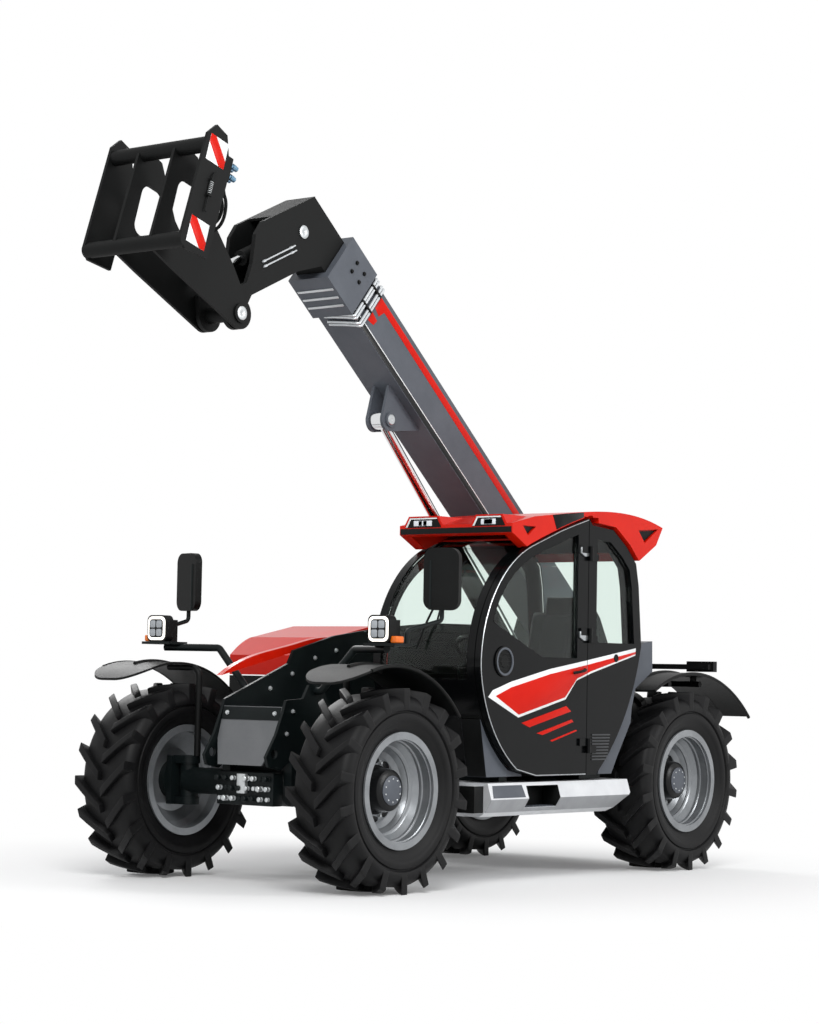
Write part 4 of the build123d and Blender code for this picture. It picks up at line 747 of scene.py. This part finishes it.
# The boom's lower corner: a black band of painted shade, and a pale line of painted highlight on its edge.
corner_shade_band = [(420, -166), (420, -128), (2995, -128), (2995, -166)]
edge_highlight_line = [(420, -127), (420, -121), (2995, -121), (2995, -127)]
for hand, way in (("left", 1), ("right", -1)):
    for name, outlines, finish, slot in (
            ("boom_red_film", (stripe, stub), red_film, "red_panel"),
            ("boom_corner_shade", (corner_shade_band,), black_paint_and_shade, "black_paint"),
            ("boom_edge_highlight_line", (edge_highlight_line,), pale_film_and_highlight, "rim_paint")):
        films = [slab("film", [on_boom(way * boom_side, a, n) for a, n in outline], Vector((way * 0.0012, 0, 0)),
                      0.0003) for outline in outlines]
        settle(joined(f"{name}_{hand}", films), "boom", finish)
collar_screws = repeated("collar_screws", screw, [
    facing(on_boom(way * 157, a, n), (way, 0, 0)) for way in (1, -1) for a in (3100, 3190) for n in (0, 75)],
    keep=True)
settle(collar_screws, "boom", boom_black)
# Drawn steel: bright grey metal with long soft highlights.
tube_steel = worn_finish("drawn_steel_tube", "#b9bdc0", "#d0d3d5", 0.34, 0.05, {"Metallic": 0.55})
tubes = []
for a in (2985, 2963, 2921, 2899):
    route = [(-60, a, 158), (120, a, 158), (147, a, 158), (149, a, 130), (149, a, -150), (149, a + 2, -182),
             (120, a + 22, -183), (-70, a + 44, -183)]
    tubes.append(pipe("tube", [on_boom(*point) for point in route], 0.009, 3))
settle(joined("boom_front_tubes", tubes), "boom", tube_steel)
pad_strips = joined("collar_pad_strips", [
    slab("strip", [on_boom(x, a + e, -192.2) for x, e in ((-140, 0), (140, 0), (140, 16), (-140, 16))],
         boom_up * -0.006, 0.0015) for a in (3085, 3150, 3215)])
settle(pad_strips, "boom", tube_steel)
eye_cap = turned("eye_cap_pattern", [(0, 0), (0, 33), (3, 33), (6, 29), (6, 9), (5, 8), (5, 0)], 32)
eye_caps = repeated("lift_eye_caps", eye_cap, [
    facing(on_boom(way * 80.2, *lift_eye), (way, 0, 0)) for way in (1, -1)])
settle(eye_caps, "boom", zinc)
clamps = joined("tube_clamps", [
    slab("clamp", [on_boom(136, a, n) for a, n in ((2890, low), (2996, low), (2996, low + 16), (2890, low + 16))],
         Vector((0.026, 0, 0)), 0.004) for low in (-60, 80)])
settle(clamps, "boom", boom_black)

# Goose neck: a black welded box with bright pin heads and two steel tubes on its left cheek.
# The tubes feed the tilt cylinder and the tool.
neck_bend, cheek_x = 65.6, 121
neck_along, _, on_neck = leaning(on_boom(0, 3690, 121), boom_stance - neck_bend)
pin_cap = turned("pin_cap_pattern", [(0, 0), (0, 40), (2.5, 40), (4.5, 36), (4.5, 12), (3.5, 10), (3.5, 0)], 32)
neck_caps = repeated("neck_pin_caps", pin_cap, [
    facing(on_neck(way * 119.3, 189, -165), (way, 0, 0)) for way in (1, -1)], keep=True)
settle(neck_caps, "inner_boom", zinc)
neck_tubes = []
for v in (-215, -245):
    neck_tubes.append(pipe("feed", [on_neck(cheek_x, 300, v), on_neck(cheek_x, 620, v)], 0.005))
    for u in (330, 590):
        nut = turned("nut", [(0, 6), (0, 10), (24, 10), (24, 6)], 6)
        nut.data.transform(facing(on_neck(cheek_x, u, v), neck_along) @ Matrix.Diagonal((1, 0.8, 0.8, 1)))
        neck_tubes.append(nut)
settle(joined("neck_feed_tubes", neck_tubes), "inner_boom", tube_steel)

# Tool carriage: two welded side plates and two bars in black, with red and white hazard film outside.
# A spring lock stands on the left plate, and quick couplers sit behind it.
carriage_lean = 16
carriage_out, _, on_carriage = leaning(Vector((0, *joint_place["carriage_tilt"].yz)), carriage_lean)
hazard_panel = [(615, 590), (765, 590), (765, 745), (615, 745)]
hazard_band = [(765, 695), (765, 745), (722, 745), (615, 640), (615, 590), (658, 590)]
pale_panels, red_bands = [], []
for way in (1, -1):
    for shift_e, shift_h in ((0, 0), (5, -500)):
        for lot, outline, x in ((pale_panels, hazard_panel, 385.2), (red_bands, hazard_band, 386.0)):
            lot.append(slab("film", [on_carriage(way * x, e + shift_e, h + shift_h) for e, h in outline],
                            Vector((way * 0.001, 0, 0)), 0.0003))
settle(joined("hazard_film_white", pale_panels), "carriage", pale_film_and_highlight)
settle(joined("hazard_film_red", red_bands), "carriage", red_film)
pivot_caps = repeated("carriage_pin_caps", pin_cap, [
    facing(on_carriage(way * 162.2, 0, 0), (way, 0, 0)) for way in (1, -1)])
settle(pivot_caps, "carriage", zinc)
lock_x, lock_e = 398, 690
tool_lock = joined("tool_lock", [
    pipe("rod", [on_carriage(lock_x, e, h) for e, h in ((lock_e, 300), (lock_e, 520), (672, 545))], 0.006),
    *[slab("guide", [on_carriage(385, e, h) for e, h in ((676, low), (704, low), (704, low + 16), (676, low + 16))],
           Vector((0.024, 0, 0)), 0.002) for low in (390, 480)]])
settle(tool_lock, "carriage", boom_black)
spring_turns = [on_carriage(lock_x + 11 * math.cos(t), lock_e + 11 * math.sin(t), 408 + t * 1.75)
                for t in [i * math.pi / 6 for i in range(78)]]
settle(pipe("tool_lock_spring", spring_turns, 0.002), "carriage", zinc)
coupler_block = slab("coupler_block", [on_carriage(300, e, h) for e, h in (
    (530, 560), (592, 560), (592, 700), (530, 700))], Vector((0.064, 0, 0)), 0.006)
settle(coupler_block, "carriage", boom_black)
coupler_pipes = joined("coupler_pipes", [
    pipe("coupler_pipe", [on_carriage(x, 560, 562), on_carriage(x, 545, 500), on_carriage(x - 20, 470, 455),
                          on_carriage(x - 70, 420, 400 - drop), on_carriage(200, 425, 350 - drop),
                          on_carriage(149, 430, 345 - drop)], 0.010, 3) for x, drop in ((316, 0), (346, 45))])
settle(coupler_pipes, "carriage", boom_black)
coupler = turned("coupler_pattern", [(0, 0), (0, 15), (10, 15), (12, 19), (34, 19), (36, 16), (52, 16), (56, 12),
                                     (56, 0)], 20)
couplers = repeated("quick_couplers", coupler, [
    facing(on_carriage(x, 531, h), -carriage_out) for x in (316, 348) for h in (595, 660)])
# Blue-passivated zinc: bright metal with a cold blue cast.
blue_zinc = worn_finish("blue_passivated_zinc", "#6f93ad", "#9bb9c9", 0.28, 0.05, {"Metallic": 1.0})
settle(couplers, "carriage", blue_zinc)

# Lift cylinder: a black barrel with a screwed gland at its mouth and a feed tube along its side.
# The rod that runs out of it is hard-chromed.
barrel_foot = Vector((0, mid_y + 1.200, 1.060))
barrel_way = (on_boom(0, *lift_eye) - barrel_foot).normalized()
gland = turned("lift_gland", [(0, 66), (0, 74), (8, 76), (44, 76), (50, 72), (52, 64), (52, 36), (50, 36), (50, 66)],
               40)
gland.data.transform(facing(barrel_foot + barrel_way * 1.451, barrel_way))
settle(gland, "lift_barrel", boom_black)
side_step = Vector((0.062, 0, 0)) + barrel_way.cross(Vector((1, 0, 0))) * 0.045
feed_tube = pipe("lift_feed_tube", [barrel_foot + barrel_way * along + side_step * out for along, out in (
    (0.20, 0.95), (0.24, 1.1), (1.38, 1.1), (1.42, 0.9))], 0.007, 3)
settle(feed_tube, "lift_barrel", tube_steel)
for pattern in (screw, lock_ring):
    bpy.data.objects.remove(pattern)


# Studio: a pale floor, a white backdrop, soft area lamps and the camera of the photograph.
# Floor and backdrop are white where the camera sees them, straight, through glass or in a glossy face.
def seen_rays(owner):
    """One for rays of the camera and for those that pass glass or leave a glossy face, else nought."""
    ray = node(owner, "ShaderNodeLightPath").outputs
    straight = node(owner, "ShaderNodeMath", {"operation": "MAXIMUM"},
                    [ray["Is Camera Ray"], ray["Is Transmission Ray"]])
    mirrored = node(owner, "ShaderNodeMath", {"operation": "MAXIMUM"},
                    [straight.outputs["Value"], ray["Is Glossy Ray"]])
    return mirrored.outputs["Value"]


bpy.ops.mesh.primitive_plane_add(size=80.0, location=(0, 0, -0.001))
floor = bpy.context.object
floor.name = "studio_floor"
bpy.ops.object.transform_apply(location=True)
# Matt floor paint: it holds the soft shadow under the machine, and is lost in white further out.
fade_start, fade_end = 1.6, 4.2
floor_paint, floor_shader = start_material("pale_floor", {"Base Color": linear("#f2f2f2"), "Roughness": 0.8,
                                                          "Specular IOR Level": 0.1})
floor_place = node(floor_paint, "ShaderNodeTexCoord").outputs["Object"]
floor_reach = node(floor_paint, "ShaderNodeVectorMath", {"operation": "LENGTH"}, [floor_place])
fade = node(floor_paint, "ShaderNodeMapRange", {
    "From Min": fade_start, "From Max": fade_end, "To Min": 0.1, "interpolation_type": "SMOOTHSTEP"},
    Value=floor_reach.outputs["Value"])
seen_fade = node(floor_paint, "ShaderNodeMath", {"operation": "MULTIPLY"},
                 [fade.outputs["Result"], seen_rays(floor_paint)])
white = node(floor_paint, "ShaderNodeEmission", {"Color": linear("#ffffff"), "Strength": 1.0})
blend = node(floor_paint, "ShaderNodeMixShader", None,
             [seen_fade.outputs["Value"], floor_shader.outputs["BSDF"], white.outputs["Emission"]])
floor_paint.node_tree.links.new(floor_paint.node_tree.nodes["Material Output"].inputs["Surface"],
                                blend.outputs["Shader"])
floor.data.materials.append(floor_paint)

scene = bpy.context.scene
world = bpy.data.worlds.new("studio_air")
scene.world = world
world.use_nodes = True
soft_air = world.node_tree.nodes["Background"]
soft_air.inputs["Color"].default_value = linear("#f4f6f8")
soft_air.inputs["Strength"].default_value = 0.5
white_air = node(world, "ShaderNodeBackground", {"Color": linear("#ffffff"), "Strength": 1.0})
backdrop = node(world, "ShaderNodeMixShader", None,
                [seen_rays(world), soft_air.outputs["Background"], white_air.outputs["Background"]])
world.node_tree.links.new(world.node_tree.nodes["World Output"].inputs["Surface"], backdrop.outputs["Shader"])

lamp_target = Vector((0, 0, 1.2))
for name, place, size, power in (
        ("key_lamp", (8.8, -11.2, 12.1), 8.0, 2176), ("side_lamp", (14.4, 4.8, 6.5), 4.8, 845),
        ("rim_lamp", (-12.8, 6.4, 9.7), 5.6, 896)):
    bpy.ops.object.light_add(type="AREA", location=place)
    lamp = bpy.context.object
    lamp.name = name
    lamp.data.size = size
    lamp.data.energy = power
    lamp.rotation_euler = (lamp_target - Vector(place)).to_track_quat("-Z", "Y").to_euler()

camera_place = Vector((10.053, mid_y - 12.879, 1.2067))
camera_yaw, camera_pitch, camera_roll = 38.4526, 3.7369, 1.0603
focal_pixels, photo_height = 2567.78, 1024
sensor = 36.0
bpy.ops.object.camera_add()
camera = bpy.context.object
camera.name = "photo_camera"
camera.matrix_world = (
    Matrix.Translation(camera_place)
    @ Matrix.Rotation(math.radians(camera_yaw), 4, "Z")
    @ Matrix.Rotation(math.radians(90 + camera_pitch), 4, "X")
    @ Matrix.Rotation(math.radians(camera_roll), 4, "Z")
)
camera.data.sensor_fit = "VERTICAL"
camera.data.sensor_height = sensor
camera.data.lens = focal_pixels / photo_height * sensor
camera.data.clip_end = 200
scene.camera = camera
scene.view_settings.view_transform = "Standard"
